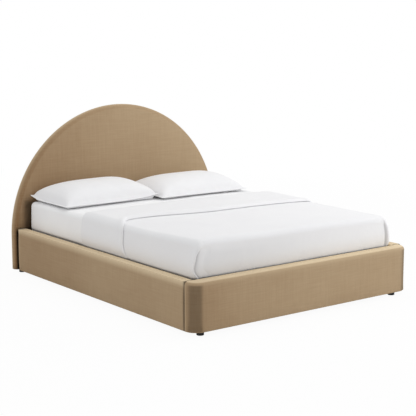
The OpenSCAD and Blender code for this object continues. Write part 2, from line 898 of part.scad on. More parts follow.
// Each ring's distance in and height, from the hem up the side and over the edge
function ring_shape(hem_z, side_grow, top_grow) = concat(
    [[-side_grow, hem_z, false]],
    [for (a = edge_angles)
        let(r = mattress_edge_r + mix(side_grow, top_grow, sin(a)))
        [mattress_edge_r - r * cos(a), mattress_top_z - mattress_edge_r + r * sin(a), true]],
    [for (d = top_depths) [d, mattress_top_z + top_grow, true]]);

// Gives an outline its height, with the crown taken off where the ring is on top
function lift(outline, shape) = [for (p = outline)
    [p[0], p[1], shape[1] - (shape[2] ? crown_drop(p[0]) : 0)]];

function full_rings(shapes, corner_r) =
    [for (s = shapes) lift(full_outline(s[0], corner_r), s)];

function foot_rings(shapes, corner_r, head_y, pull) = [for (i = [0:len(shapes) - 1])
    lift(foot_outline(shapes[i][0], corner_r, head_y, i < 2 ? pull : i < 4 ? pull * 0.4 : 0),
         shapes[i])];

// Triangles between two neighbouring rows of n points, which start at a and b, with each
// quadrangle cut along its shorter diagonal, and flipped on an inner face
function band(points, a, b, n, closed, flip) = [for (j = [0:closed ? n - 1 : n - 2])
    let(k = (j + 1) % n,
        across_j = norm(points[a + j] - points[b + k]) <= norm(points[a + k] - points[b + j]),
        pair = across_j ? [[a + j, b + k, a + k], [a + j, b + j, b + k]]
                        : [[a + j, b + j, a + k], [b + j, b + k, a + k]])
    each (flip ? [for (face = pair) [face[2], face[1], face[0]]] : pair)];

function bands(points, first, rows, n, closed, flip) = [for (i = [0:rows - 2])
    each band(points, first + i * n, first + (i + 1) * n, n, closed, flip)];

// Triangles from a row of n points to one point
function fan(first, n, tip, closed, flip) = [for (j = [0:closed ? n - 1 : n - 2])
    let(k = (j + 1) % n)
    flip ? [first + j, first + k, tip] : [first + j, tip, first + k]];

function flat_list(rows) = [for (row = rows) each row];

module mattress() {
    shapes = concat([[mattress_low_r, mattress_z, false]],
                    ring_shape(mattress_z + mattress_low_r, 0, 0));
    rings = full_rings(shapes, mattress_corner_r);
    n = len(rings[0]);
    m = len(rings);
    mid_y = (mattress_y0 + mattress_y1) / 2;
    points = concat(flat_list(rings), [[0, mid_y, mattress_top_z], [0, mid_y, mattress_z]]);
    color(white_ticking)
        polyhedron(points, concat(bands(points, 0, m, n, true, false),
                                  fan((m - 1) * n, n, m * n, true, false),
                                  fan(0, n, m * n + 1, true, true)));
}

module fitted_sheet() {
    hem_z = mattress_z + sheet_hem;
    outer = full_rings(ring_shape(hem_z, sheet_out, sheet_out), mattress_corner_r);
    inner = full_rings(ring_shape(hem_z, sheet_in, sheet_in), mattress_corner_r);
    n = len(outer[0]);
    m = len(outer);
    mid_y = (mattress_y0 + mattress_y1) / 2;
    points = concat(flat_list(outer), flat_list(inner),
                    [[0, mid_y, mattress_top_z + sheet_out], [0, mid_y, mattress_top_z + sheet_in]]);
    color(white_cotton)
        polyhedron(points, concat(bands(points, 0, m, n, true, false),
                                  bands(points, m * n, m, n, true, true),
                                  band(points, 0, m * n, n, true, true),
                                  fan((m - 1) * n, n, 2 * m * n, true, false),
                                  fan((2 * m - 1) * n, n, 2 * m * n + 1, true, true)));
}

// Wall between the ends of an outer and an inner sheet, along one end of their rows
function end_wall(outer, inner, rows, n, at, flip) = [for (i = [0:rows - 2])
    let(a = outer + i * n + at, b = outer + (i + 1) * n + at,
        c = inner + i * n + at, d = inner + (i + 1) * n + at)
    each (flip ? [[a, b, c], [b, d, c]] : [[a, c, b], [b, c, d]])];

module quilt() {
    outer = foot_rings(ring_shape(quilt_hem_z, quilt_in + quilt_side_t, quilt_in + quilt_top_t),
                       quilt_corner_r, quilt_head_y, pleat_depth);
    inner = foot_rings(ring_shape(quilt_hem_z, quilt_in, quilt_in),
                       quilt_corner_r, quilt_head_y, pleat_depth);
    n = len(outer[0]);
    m = len(outer);
    out_last = (m - 1) * n;
    in_last = (2 * m - 1) * n;
    out_tip = 2 * m * n;
    in_tip = out_tip + 1;
    tips = [[0, quilt_head_y, mattress_top_z + quilt_in + quilt_top_t],
            [0, quilt_head_y, mattress_top_z + quilt_in]];
    points = concat(flat_list(outer), flat_list(inner), tips);
    color(white_cotton)
        polyhedron(points, concat(bands(points, 0, m, n, false, false),
                                  bands(points, m * n, m, n, false, true),
                                  band(points, 0, m * n, n, false, true),
                                  end_wall(0, m * n, m, n, 0, false),
                                  end_wall(0, m * n, m, n, n - 1, true),
                                  fan(out_last, n, out_tip, false, false),
                                  fan(in_last, n, in_tip, false, true),
                                  [[out_last, in_last, in_tip], [out_last, in_tip, out_tip],
                                   [out_tip, in_tip, in_last + n - 1],
                                   [out_tip, in_last + n - 1, out_last + n - 1]]));
}

// A row of points across the bed at y, from the left hem to the right one
function across(shapes, y) =
    let(left = [for (s = shapes)
        let(x = s[0] - half_w)
        [x, y, s[1] - (s[2] ? crown_drop(x) : 0)]])
    concat(left, [for (i = [len(left) - 1:-1:0]) [-left[i][0], y, left[i][2]]]);

module top_sheet() {
    under = [top_sheet_in, top_sheet_in];
    over = [quilt_in + quilt_side_t + layer_gap, quilt_in + quilt_top_t + layer_gap];
    top = [over[0] + cuff_side_t, over[1] + cuff_top_t];
    // Stations from under the quilt, round its head edge and back over it: y and height share
    // of the face turned away from the quilt, then y and height share of the face on the quilt
    q = quilt_head_y;
    c = cuff_head_y;
    e = cuff_foot_y;
    mid = mix(q, e, 0.55);
    stations = [[top_sheet_foot_y, 0, top_sheet_foot_y, 0],
                [q, 0, q, 0],
                [c - 5, 0.05, q + 2, 0.1],
                [c, 0.3, q + 3, 0.5],
                [c - 4, 0.6, q + 2, 0.9],
                [c - 16, 0.78, q, 1],
                [q - 60, 0.86, q - 60, 1],
                [mid, 0.94, mid, 1],
                [e + 40, 1, e + 40, 1],
                [e + 13, 0.99, e + 13, 1],
                [e + 3, 0.9, e + 6, 1],
                [e, 0.74, e + 4, 1]];
    away = [for (t = stations) across(ring_shape(cuff_hem_z, mix(under[0], top[0], t[1]),
                                                 mix(under[1], top[1], t[1])), t[0])];
    on = [for (t = stations)
        across(ring_shape(cuff_hem_z, mix(top_sheet_out, over[0], t[3]),
                          mix(top_sheet_out, over[1], t[3])), t[2])];
    n = len(away[0]);
    m = len(stations);
    points = concat(flat_list(away), flat_list(on));
    color(white_cotton)
        polyhedron(points, concat(bands(points, 0, m, n, false, true),
                                  bands(points, m * n, m, n, false, false),
                                  band(points, 0, m * n, n, false, false),
                                  band(points, (m - 1) * n, (2 * m - 1) * n, n, false, true),
                                  end_wall(0, m * n, m, n, 0, true),
                                  end_wall(0, m * n, m, n, n - 1, false)));
}

// Shares of a pillow's half width from -1 to 1: its border's rim and seam, then close to the
// seams and wide in the middle
function pillow_steps(border, n) = concat([-1],
    [for (k = [0:n]) -(1 - border) * cos(180 * k / n)], [1]);

// Fullness of a pillow from 0 at its seams to 1 at its middle
function fullness(u, v, bu, bv) =
    let(a = min(1, abs(u) / (1 - bu)), b = min(1, abs(v) / (1 - bv)))
    pow(max(0, (1 - pow(a, 2.6)) * (1 - pow(b, 2.6))), 0.62);

// Top of the fitted sheet over the bed, without its round edges
function sheet_z(x) = mattress_top_z + sheet_out - crown_drop(x);

module pillow(mid_x, mid_y) {
    columns = 14;
    rows = 12;
    border_t = 3;
    bu = pillow_border / (pillow_w / 2);
    bv = pillow_border / (pillow_d / 2);
    us = pillow_steps(bu, columns);
    vs = pillow_steps(bv, rows);
    function px(u, v) = mid_x + pillow_w / 2 * u - pillow_draw * u * pow(abs(u), 2) * (1 - v * v);
    function py(u, v) = mid_y + pillow_d / 2 * v - pillow_draw * v * pow(abs(v), 2) * (1 - u * u);
    function seam_z(u, v) = sheet_z(px(u, v)) + pillow_seam_h * (1 - 0.35 * pow(u * v, 4));
    function top_z(u, v) = seam_z(u, v) + border_t / 2
        + (pillow_h - pillow_seam_h) * fullness(u, v, bu, bv);
    function low_z(u, v) = let(s = seam_z(u, v) - border_t / 2, floor_z = sheet_z(px(u, v)) + rest_gap)
        mix(s, floor_z, min(1, 1.5 * fullness(u, v, bu, bv)));
    n = len(us);
    m = len(vs);
    top = [for (v = vs) [for (u = us) [px(u, v), py(u, v), top_z(u, v)]]];
    low = [for (v = vs) [for (u = us) [px(u, v), py(u, v), low_z(u, v)]]];
    rim = concat([for (j = [0:n - 2]) j], [for (i = [0:m - 2]) i * n + n - 1],
                 [for (j = [n - 1:-1:1]) (m - 1) * n + j], [for (i = [m - 1:-1:1]) i * n]);
    walls = [for (k = [0:len(rim) - 1])
        let(a = rim[k], b = rim[(k + 1) % len(rim)])
        each [[a, b, m * n + b], [a, m * n + b, m * n + a]]];
    points = concat(flat_list(top), flat_list(low));
    color(white_cotton)
        polyhedron(points, concat(bands(points, 0, m, n, false, false),
                                  bands(points, m * n, m, n, false, true), walls));
}

module pillow_left() { pillow(-pillow_left_x, pillow_left_y); }
module pillow_right() { pillow(pillow_right_x, pillow_right_y); }

headboard_cover();
headboard_back_cloth();
headboard_foam();
headboard_panel();
head_post_left();
head_post_right();
head_bottom_rail();
head_middle_rail();
head_top_rail();
head_centre_stile();
head_slot_plates();
side_rail_cover_left();
side_rail_foam_left();
side_rail_board_left();
slat_cleat_left();
side_rail_cover_right();
side_rail_foam_right();
side_rail_board_right();
slat_cleat_right();
rail_hook_plates();
footboard_cover();
footboard_foam();
footboard_board();
foot_corner_brackets();
cleat_screws();
bracket_screws();
front_glides();
head_glides();
centre_beam();
beam_shoes();
slat_strap_left();
slat_strap_right();
mattress();
fitted_sheet();
top_sheet();
quilt();
pillow_left();
pillow_right();
for (i = [1:leg_count])
    centre_leg(i);
for (i = [1:leg_count])
    levelling_foot(i);
for (i = [1:slat_count])
    slat(i);
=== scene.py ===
# %% [markdown]
# # An upholstered platform bed with a half-round headboard
#
# The frame of the bed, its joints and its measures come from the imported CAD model, which is loaded
# first and never changed. This lesson dresses it: padded velvet covers, bedding, pillows, finishes
# for every part inside, soft studio light and the camera.

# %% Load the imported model
from math import atan2, copysign, cos, degrees, exp, hypot, pi, radians, sin, sqrt

import bmesh
import bpy
from mathutils import Matrix, Vector, noise


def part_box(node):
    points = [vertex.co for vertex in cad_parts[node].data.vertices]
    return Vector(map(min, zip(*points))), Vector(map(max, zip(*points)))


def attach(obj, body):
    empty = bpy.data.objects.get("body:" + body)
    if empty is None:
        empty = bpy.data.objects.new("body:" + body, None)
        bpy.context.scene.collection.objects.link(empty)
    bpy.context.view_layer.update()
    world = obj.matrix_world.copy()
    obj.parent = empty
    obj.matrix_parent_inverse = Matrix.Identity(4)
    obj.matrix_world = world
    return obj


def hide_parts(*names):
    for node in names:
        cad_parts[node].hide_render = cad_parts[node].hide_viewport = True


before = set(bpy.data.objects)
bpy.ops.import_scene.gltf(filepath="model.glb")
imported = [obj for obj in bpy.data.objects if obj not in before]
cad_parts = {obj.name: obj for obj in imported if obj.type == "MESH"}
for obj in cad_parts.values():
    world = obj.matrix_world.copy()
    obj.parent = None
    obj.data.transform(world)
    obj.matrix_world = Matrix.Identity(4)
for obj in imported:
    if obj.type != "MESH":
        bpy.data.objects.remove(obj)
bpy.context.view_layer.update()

# %% [markdown]
# ## Colours and nodes
#
# Colours are picked as the sRGB hex values that an image program shows, and a renderer works in
# linear light, so one function turns them over. One more adds a node with its fields and its inputs,
# where an input is either a number or another node's output. Each material also reads an attribute of
# painted shade, with which a piece darkens its own colour where it runs far into a joint or a fold and
# little light would reach (1 is as good as black). It is painted on, so it stays when the piece is lifted
# out. A piece without it is left as it is.

# %% Colour and node helpers
def linear(hex_colour):
    channels = [int(hex_colour[i:i + 2], 16) / 255 for i in (1, 3, 5)]
    return [c / 12.92 if c <= 0.04045 else ((c + 0.055) / 1.055) ** 2.4 for c in channels] + [1.0]


def add(tree, kind, fields=None, inputs=None):
    made = tree.nodes.new("ShaderNode" + kind)
    for name, value in (fields or {}).items():
        setattr(made, name, value)
    for socket, value in (inputs or {}).items():
        if isinstance(value, bpy.types.NodeSocket):
            tree.links.new(value, made.inputs[socket])
        else:
            made.inputs[socket].default_value = value
    return made


def start_material(name):
    material = bpy.data.materials.new(name)
    material.use_nodes = True
    tree = material.node_tree
    tree.nodes.clear()
    place = add(tree, "TexCoord").outputs["Object"]
    return material, tree, place


def finish_material(material, tree, colour, roughness, bump, more=None):
    # Painted shade: this attribute darkens the colour towards black in joints, gaps and folds.
    depth = add(tree, "Attribute", {"attribute_name": "painted_shade"})
    light_left = add(tree, "MapRange", None, {"Value": depth.outputs["Fac"], "To Min": 1.0, "To Max": 0.03})
    shaded = add(tree, "Mix", {"data_type": "RGBA", "blend_type": "MULTIPLY"},
                 {"Factor": 1.0, 6: colour, 7: light_left.outputs[0]})
    shader = add(tree, "BsdfPrincipled", None, {
        "Base Color": shaded.outputs[2], "Roughness": roughness, "Normal": bump.outputs[0], **(more or {})})
    add(tree, "OutputMaterial", None, {"Surface": shader.outputs[0]})
    print("material", material.name, len(tree.nodes), "nodes")
    return material


print("tan cover colour in linear light", [round(c, 3) for c in linear("#a38c6d")])

# %% Nodes that repeat
def noise_of(tree, place, scale, detail, roughness=0.5, distortion=0.0):
    return add(tree, "TexNoise", None, {"Vector": place, "Scale": scale, "Detail": detail,
                                        "Roughness": roughness, "Distortion": distortion}).outputs["Fac"]


def blend(tree, factor, first, second, clamp=True):
    """A colour between two hex colours: the first where the factor is 0, the second where it is 1."""
    return add(tree, "Mix", {"data_type": "RGBA", "clamp_factor": clamp},
               {"Factor": factor, 6: linear(first), 7: linear(second)}).outputs[2]


def maths(tree, operation, *values):
    return add(tree, "Math", {"operation": operation}, dict(enumerate(values))).outputs[0]


def bumped(tree, height, strength, distance):
    return add(tree, "Bump", None, {"Height": height, "Strength": strength, "Distance": distance})


print("node helpers ready")

# %% [markdown]
# ## Camera
#
# The photograph was taken from over the bed's left front corner with a fairly long lens. The place,
# the turn and the focal length were found by matching the rails' bottom edges, the arch and the
# glides to the CAD model's own lines.

# %% Camera
def show(thing):
    bpy.context.scene.collection.objects.link(thing)
    return thing


def aim(thing, place, direction):
    thing.location = place
    thing.rotation_mode = "QUATERNION"
    thing.rotation_quaternion = direction.to_track_quat("-Z", "Y")
    return show(thing)


CAMERA_TURN = radians(-37.3022)
CAMERA_RISE = radians(9.8542)
CAMERA_LENS = 100.387
CAMERA_PLACE = (-4.7013, -6.2368, 1.8797)

backwards = Vector((sin(CAMERA_TURN) * cos(CAMERA_RISE),
                    -cos(CAMERA_TURN) * cos(CAMERA_RISE), sin(CAMERA_RISE)))
camera = bpy.data.objects.new("studio_camera", bpy.data.cameras.new("studio_camera"))
camera.data.sensor_width = 36
camera.data.lens = CAMERA_LENS
camera.data.clip_end = 300
bpy.context.scene.camera = aim(camera, CAMERA_PLACE, -backwards)
bpy.context.scene.view_settings.view_transform = "Standard"
print("camera", CAMERA_PLACE, "lens", CAMERA_LENS)

# %% [markdown]
# ## Studio light
#
# The bed stands in very even light: the tops are brightest, the foot end is a little darker, and the
# left side darker again, with soft changes and almost no shadow on the floor. A bright world gives
# the even part. Three large soft lamps, one over the bed and two on its right, give the rest.

# %% Lamps and world
def soft_lamp(name, place, target, size, watts):
    lamp = bpy.data.lights.new(name, "AREA")
    lamp.shape = "DISK"
    lamp.size = size
    lamp.energy = watts
    aim(bpy.data.objects.new(name, lamp), place, Vector(target) - Vector(place))


WORLD_LEVEL = 0.716
soft_lamp("lamp_right_front", (2.6, -3.2, 1.8), (0.4, -0.6, 0.4), 2.0, 17.5)
soft_lamp("lamp_right", (3.4, -1.4, 2.6), (0.3, -0.2, 0.5), 2.4, 22)
soft_lamp("lamp_over_bed", (0.3, 0.2, 4.2), (0.2, 0.0, 0.5), 3.0, 25)

world = bpy.data.worlds.new("studio")
bpy.context.scene.world = world
world.use_nodes = True
sky = world.node_tree
sky.nodes.clear()
ray = add(sky, "LightPath")
camera_or_glossy = maths(sky, "MAXIMUM", ray.outputs["Is Camera Ray"], ray.outputs["Is Glossy Ray"])
seen = maths(sky, "MAXIMUM", camera_or_glossy, ray.outputs["Is Transmission Ray"])
even = add(sky, "Background", None, {"Color": linear("#ffffff"), "Strength": WORLD_LEVEL})
white = add(sky, "Background", None, {"Color": linear("#ffffff"), "Strength": 1.0})
both = add(sky, "MixShader", None, {0: seen, 1: even.outputs[0], 2: white.outputs[0]})
add(sky, "OutputWorld", None, {"Surface": both.outputs[0]})
print("world", WORLD_LEVEL)

# %% [markdown]
# ## Floor
#
# A pale floor runs out to the white background. For the camera it is mostly plain white, with enough
# of its own matt surface left in to keep the bed's soft shadow.

# %% Floor
FLOOR_HALF = 60.0
FLOOR_WHITE_SHARE = 0.95
floor_material, tree, place = start_material("matt_white_studio_floor")
rays = add(tree, "LightPath")
away = add(tree, "VectorMath", {"operation": "LENGTH"}, {0: place})
whiteness = add(tree, "MapRange", {"interpolation_type": "SMOOTHSTEP"},
                {"Value": away.outputs["Value"], "From Min": 2.0, "From Max": 6.0,
                 "To Min": FLOOR_WHITE_SHARE, "To Max": 1.0})
matt = add(tree, "BsdfDiffuse", None, {"Color": linear("#f6f6f6")})
glow = add(tree, "Emission", None, {"Color": linear("#ffffff"), "Strength": 1.0})
share = maths(tree, "MULTIPLY", rays.outputs["Is Camera Ray"], whiteness.outputs[0])
surface = add(tree, "MixShader", None, {0: share, 1: matt.outputs[0], 2: glow.outputs[0]})
add(tree, "OutputMaterial", None, {"Surface": surface.outputs[0]})

floor_bm = bmesh.new()
bmesh.ops.create_grid(floor_bm, x_segments=4, y_segments=4, size=FLOOR_HALF)
floor_mesh = bpy.data.meshes.new("studio_floor")
floor_bm.to_mesh(floor_mesh)
floor_bm.free()
floor = bpy.data.objects.new("studio_floor", floor_mesh)
floor_mesh.materials.append(floor_material)
show(floor)
print("floor", 2 * FLOOR_HALF, "m wide")

# %% [markdown]
# ## Tan velvet
#
# The covers are a short-pile velvet over a slubby ground weave. It looks plain from afar, with faint
# streaks along both threads and broad soft patches where the pile leans another way. The streaks are
# noise stretched along the weft and the warp, drawn about 8 mm wide because real 1 mm threads would be
# finer than a pixel. Each velvet piece also carries an attribute of painted light: above 0 it paints a
# highlight into the colour, on rounds and faces that catch the light, and below 0 it paints shade.

# %% Tan velvet
SLUB_WIDTH = 0.008
SLUB_LENGTH = 0.16
PILE = 0.0012
PATCHES_PER_METRE = 3.2


def velvet(name, pale_tone, dark_tone, sheen_tint):
    material, tree, place = start_material(name)
    fine, long = 1 / SLUB_WIDTH, 1 / SLUB_LENGTH
    weft_place = add(tree, "Mapping", None, {"Vector": place, "Scale": (long, long, fine)}).outputs[0]
    warp_place = add(tree, "Mapping", None, {"Vector": place, "Scale": (fine, fine, long)}).outputs[0]
    weft = noise_of(tree, weft_place, 1.0, 2.0, 0.6)
    warp = noise_of(tree, warp_place, 1.0, 2.0, 0.6)
    patch = noise_of(tree, place, PATCHES_PER_METRE, 3.0)
    pile = noise_of(tree, place, 1 / PILE, 1.0)
    threads = maths(tree, "ADD", weft, warp)
    patches = maths(tree, "MULTIPLY_ADD", patch, 0.9, threads)
    tone = add(tree, "MapRange", None,
               {"Value": patches, "From Min": 1.0, "From Max": 1.9, "To Min": 0.35, "To Max": 0.55})
    # Painted highlight and painted shade: this attribute lifts or lowers the tone where more or less light
    # falls.
    painted_light_node = add(tree, "Attribute", {"attribute_name": "painted_light_and_shade"})
    stand = maths(tree, "ADD", tone.outputs[0], painted_light_node.outputs["Fac"])
    relief = maths(tree, "MULTIPLY_ADD", pile, 0.5, threads)
    return finish_material(
        material, tree, blend(tree, stand, dark_tone, pale_tone, clamp=False), 0.92,
        bumped(tree, relief, 0.12, 0.0010),
        {"Specular IOR Level": 0.15, "Sheen Weight": 0.20, "Sheen Roughness": 0.40,
         "Sheen Tint": linear(sheen_tint)})


tan_velvet = velvet("tan_velvet_upholstery", "#cbb595", "#957859", "#e8dcc6")


def mark(piece, name, rule, by_normal=False):
    """Writes an attribute. The rule gives its value at a point of the mesh, or from the normal there too."""
    mesh = piece.data
    values = [rule(v.co, v.normal) if by_normal else rule(v.co) for v in mesh.vertices]
    mesh.attributes.new(name, "FLOAT", "POINT").data.foreach_set("value", values)
    print(name, "of", piece.name, round(min(values), 2), "to", round(max(values), 2))


# %% [markdown]
# ## White cotton
#
# Sheets, quilt and pillow shams are washed white percale: nearly white, matt, with a fine plain weave
# and shallow wandering creases. The weave is drawn as tiny noise in the bump, and the creases as slow
# stretched noise with hardly any height.

# %% White cotton
PERCALE_THREAD = 0.0009


def cotton(name, tint, crease_height, crease_size):
    material, tree, place = start_material(name)
    thread = noise_of(tree, place, 1 / PERCALE_THREAD, 1.0)
    crease = noise_of(tree, place, 1 / crease_size, 3.0, 0.45, 0.6)
    folds = bumped(tree, crease, 1.0, crease_height)
    tree.links.new(bumped(tree, thread, 0.15, 0.0003).outputs[0], folds.inputs["Normal"])
    return finish_material(material, tree, blend(tree, crease, tint, "#f6f6f7"), 0.85, folds,
                           {"Specular IOR Level": 0.2, "Sheen Weight": 0.1, "Sheen Roughness": 0.5})


white_percale = cotton("white_percale_cotton", "#f1f1f3", 0.004, 0.22)
white_sham = cotton("white_sham_cotton", "#f2f2f4", 0.003, 0.09)
# The fitted sheet is the same percale painted whiter, as painted light for the bed's sides near the
# headboard.
fitted_percale_painted_whiter = cotton("white_fitted_sheet_cotton", "#ffffff", 0.004, 0.22)

# %% [markdown]
# ## Finishes of the parts inside
#
# Lifting the mattress shows what carries it: planed softwood, birch slats, plywood, foam, webbing,
# zinc-plated and black powder-coated steel, and black moulded feet. Wood is noise stretched along the
# grain; foam is a fine cell pattern; metals keep their default IOR and differ by roughness.

# %% Wood
def wood(name, light, dark, grain_axis, ring):
    material, tree, place = start_material(name)
    scale = [1 / ring] * 3
    scale[grain_axis] = 1 / (ring * 18)
    grain_place = add(tree, "Mapping", None, {"Vector": place, "Scale": scale})
    grain = noise_of(tree, grain_place.outputs[0], 1.0, 6.0, 0.6, 0.4)
    streak = add(tree, "MapRange", None, {"Value": grain, "From Min": 0.35, "From Max": 0.68})
    return finish_material(material, tree, blend(tree, streak.outputs[0], light, dark), 0.6,
                           bumped(tree, grain, 0.3, 0.0004))


pine_across = wood("planed_pine_across", "#d9b98a", "#b98d58", 0, 0.007)
pine_along = wood("planed_pine_along", "#d9b98a", "#b98d58", 1, 0.007)
pine_upright = wood("planed_pine_upright", "#d9b98a", "#b98d58", 2, 0.007)
birch_slat = wood("planed_birch_slat", "#e6cda3", "#cfae7c", 0, 0.005)
plywood_face = wood("rotary_cut_plywood", "#d4b78c", "#b99668", 2, 0.012)

# %% Foam, cloths and webbing
def textile(name, light, dark, grain, relief, roughness):
    material, tree, place = start_material(name)
    cells = add(tree, "TexVoronoi", None, {"Vector": place, "Scale": 1 / grain}).outputs["Distance"]
    mixed = maths(tree, "MULTIPLY_ADD", cells, 0.5, noise_of(tree, place, 6.0, 4.0))
    return finish_material(material, tree, blend(tree, mixed, dark, light), roughness,
                           bumped(tree, cells, 0.4, relief), {"Specular IOR Level": 0.2})


cut_foam = textile("open_cell_foam", "#efe6c6", "#dccf9f", 0.0015, 0.0006, 0.95)
dust_cloth = textile("black_non_woven_dust_cloth", "#2a2a2a", "#1b1b1b", 0.0012, 0.0003, 0.9)
slat_webbing = textile("woven_polyester_webbing", "#2b2b2d", "#19191b", 0.0018, 0.0004, 0.8)
mattress_ticking = textile("damask_mattress_ticking", "#f0eeea", "#e2dfd8", 0.006, 0.0008, 0.85)


# %% Metals and moulded plastic
def hard(name, light, dark, metallic, roughness, grain, relief):
    material, tree, place = start_material(name)
    speck = noise_of(tree, place, 1 / grain, 3.0)
    wear = noise_of(tree, place, 14.0, 4.0)
    rough = add(tree, "MapRange", None,
                {"Value": speck, "To Min": roughness - 0.08, "To Max": roughness + 0.08})
    return finish_material(material, tree, blend(tree, wear, dark, light), rough.outputs[0],
                           bumped(tree, speck, 0.25, relief), {"Metallic": metallic})


zinc_plate = hard("bright_zinc_plated_steel", "#c9ccd0", "#aeb1b5", 1.0, 0.32, 0.004, 0.0002)
black_steel = hard("black_powder_coated_steel", "#2c2c2c", "#1c1c1c", 0.0, 0.5, 0.0012, 0.0003)
black_plastic = hard("black_moulded_polypropylene", "#1f1f20", "#141415", 0.0, 0.42, 0.0015, 0.0002)

# %% Finishes on the CAD nodes
NODES_IN = (
    (dust_cloth, ["headboard_back_cloth"]),
    (plywood_face, ["headboard_panel"]),
    (pine_upright, ["head_post_left", "head_post_right", "head_centre_stile"]),
    (pine_across, ["head_top_rail", "head_middle_rail", "head_bottom_rail", "footboard_board"]),
    (cut_foam, ["headboard_foam", "footboard_foam", "side_rail_foam_left", "side_rail_foam_right"]),
    (pine_along, ["side_rail_board_left", "side_rail_board_right", "slat_cleat_left", "slat_cleat_right",
                  "centre_beam"]),
    (slat_webbing, ["slat_strap_left", "slat_strap_right"]),
    (zinc_plate, ["head_slot_plates", "cleat_screws", "bracket_screws"]),
    (black_steel, ["rail_hook_plates", "foot_corner_brackets", "beam_shoes"]
     + [f"levelling_foot_{n}" for n in range(1, 4)]),
    (black_plastic, ["front_glides", "head_glides"] + [f"centre_leg_{n}" for n in range(1, 4)]),
    (birch_slat, [f"slat_{n:02d}" for n in range(1, 15)]),
)
for finish, node_names in NODES_IN:
    for node_name in node_names:
        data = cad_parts[node_name].data
        data.materials.clear()
        data.materials.append(finish)
print("finished", sum(len(names) for finish, names in NODES_IN), "of", len(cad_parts), "CAD nodes")

# %% [markdown]
# ## Making a piece
#
# Each new piece ends the same way: its mesh is smooth shaded, it gets its finish, and it rides on the
# body of the CAD node that it stands for. Other helpers cut a mesh with planes so that it can be shaped,
# step softly from 0 to 1 and back, and give the slow wander that stops long cloth surfaces from looking
# machined.

# %% Piece helpers
def make_piece(name, bm, finish, body, replaced, levels=0):
    bmesh.ops.recalc_face_normals(bm, faces=bm.faces)
    mesh = bpy.data.meshes.new(name)
    bm.to_mesh(mesh)
    bm.free()
    mesh.polygons.foreach_set("use_smooth", [True] * len(mesh.polygons))
    mesh.materials.append(finish)
    made = bpy.data.objects.new(name, mesh)
    show(made)
    if levels:
        smooth = made.modifiers.new("rounding", "SUBSURF")
        smooth.levels = smooth.render_levels = levels
    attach(made, body)
    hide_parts(replaced)
    print("piece", name, len(mesh.vertices), "points")
    return made


def velvet_piece(name, bm, cover):
    return make_piece(name, bm, tan_velvet, "bed_frame", cover)


def cotton_layer(node_name, bm, finish):
    return make_piece(node_name + "_cotton", bm, finish, "dressed_mattress", node_name,
                      levels=1)


print("piece helpers ready")


# %% Shaping helpers
def cut_plane(bm, point, normal, clear=False):
    """Cuts the whole mesh with a plane, and clears what lies beyond it if asked to."""
    bmesh.ops.bisect_plane(bm, geom=bm.verts[:] + bm.edges[:] + bm.faces[:], dist=1e-5, plane_co=point,
                           plane_no=normal, clear_outer=clear)


def cut_along(bm, axis, first, last, pitch):
    """Cuts the mesh with evenly spaced planes across an axis."""
    count = max(1, round((last - first) / pitch))
    normal = Vector((axis == "x", axis == "y", axis == "z"))
    for k in range(1, count):
        at = first + (last - first) * k / count
        cut_plane(bm, normal * at, normal)


def wander(point, size, seed):
    """A slow random value from about -1 to 1 that changes over the given size in metres."""
    return noise.noise(point / size + Vector((seed, 1.7 * seed, -seed)))


def ease(value, start, end):
    """0 before start, 1 after end, and a smooth step between."""
    t = min(1.0, max(0.0, (value - start) / (end - start)))
    return t * t * (3 - 2 * t)


def fade(value, start, end):
    """1 before start, 0 after end."""
    return 1 - ease(value, start, end)


def quarter_round(distance, radius):
    """0 at an edge, 1 further in than the radius, and a round between."""
    t = min(1.0, max(0.0, distance / radius))
    return sqrt(1 - (1 - t) ** 2)


def verts_in(geom):
    return [v for v in geom if isinstance(v, bmesh.types.BMVert)]


def faces_in(geom):
    return [f for f in geom if isinstance(f, bmesh.types.BMFace)]


print("shaping helpers ready")

# %% [markdown]
# ## Headboard cover
#
# The headboard is a half-round panel, padded on the front, with a full round edge that carries a painted
# highlight. A disc is cut in half for the arch, its straight edge is pulled down to the floor end,
# and each flat side is inset in small steps that climb round the edge, which gives the roll and keeps
# the rows of faces parallel to the arch. At the back the velvet ends in a rim, and the dust cloth of
# the CAD model shows inside it. The front waves so little that the foam under it never shows.

# %% Headboard cover
ARCH_R = 0.900
ARCH_Z = 0.264
ROLL_R = 0.037
BACK_RIM = 0.055
BACK_SINK = 0.0025
PANEL_STEPS = (0.006, 0.010, 0.016, 0.03)
CLOTH_GRID = 0.045
ROLL_STEPS = 9
FOAM_CLEAR_WAVE = 0.0007
# Where the painted shade on the headboard's front ends, beside the mattress and at the rails' ends.
BED_SHADE_X, BED_SHADE_Z = 0.80, 0.50
RAIL_SHADE_X, RAIL_SHADE_Z = 0.878, 0.322
head_low, head_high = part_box("headboard_cover")

bm = bmesh.new()
upright = Matrix.Translation((0, head_low.y + ROLL_R, ARCH_Z)) @ Matrix.Rotation(radians(90), 4, "X")
bmesh.ops.create_circle(bm, cap_ends=True, segments=144, radius=ARCH_R, matrix=upright)
cut_plane(bm, (0, 0, ARCH_Z), (0, 0, -1), clear=True)
foot_edge = [e for e in bm.edges if all(abs(v.co.z - ARCH_Z) < 1e-4 for v in e.verts)]
pulled = bmesh.ops.extrude_edge_only(bm, edges=foot_edge)["geom"]
for v in verts_in(pulled):
    v.co.z = head_low.z
bmesh.ops.dissolve_faces(bm, faces=bm.faces[:])
bmesh.ops.recalc_face_normals(bm, faces=bm.faces[:])
front = bm.faces[:][0]
if front.normal.y > 0:
    front.normal_flip()
grown = bmesh.ops.extrude_face_region(bm, geom=[front], use_keep_orig=True)["geom"]
back = faces_in(grown)[0]
for v in back.verts:
    v.co.y = head_high.y - ROLL_R
bmesh.ops.recalc_face_normals(bm, faces=bm.faces[:])
flats = [f for f in bm.faces if len(f.verts) > 20]
print("arch sides", len(flats), [round(f.normal.y, 2) for f in flats])

# %% Roll of the headboard
def inset(faces, thickness, depth=0):
    bmesh.ops.inset_region(bm, faces=faces, use_even_offset=True, use_boundary=True, thickness=thickness,
                           depth=depth)


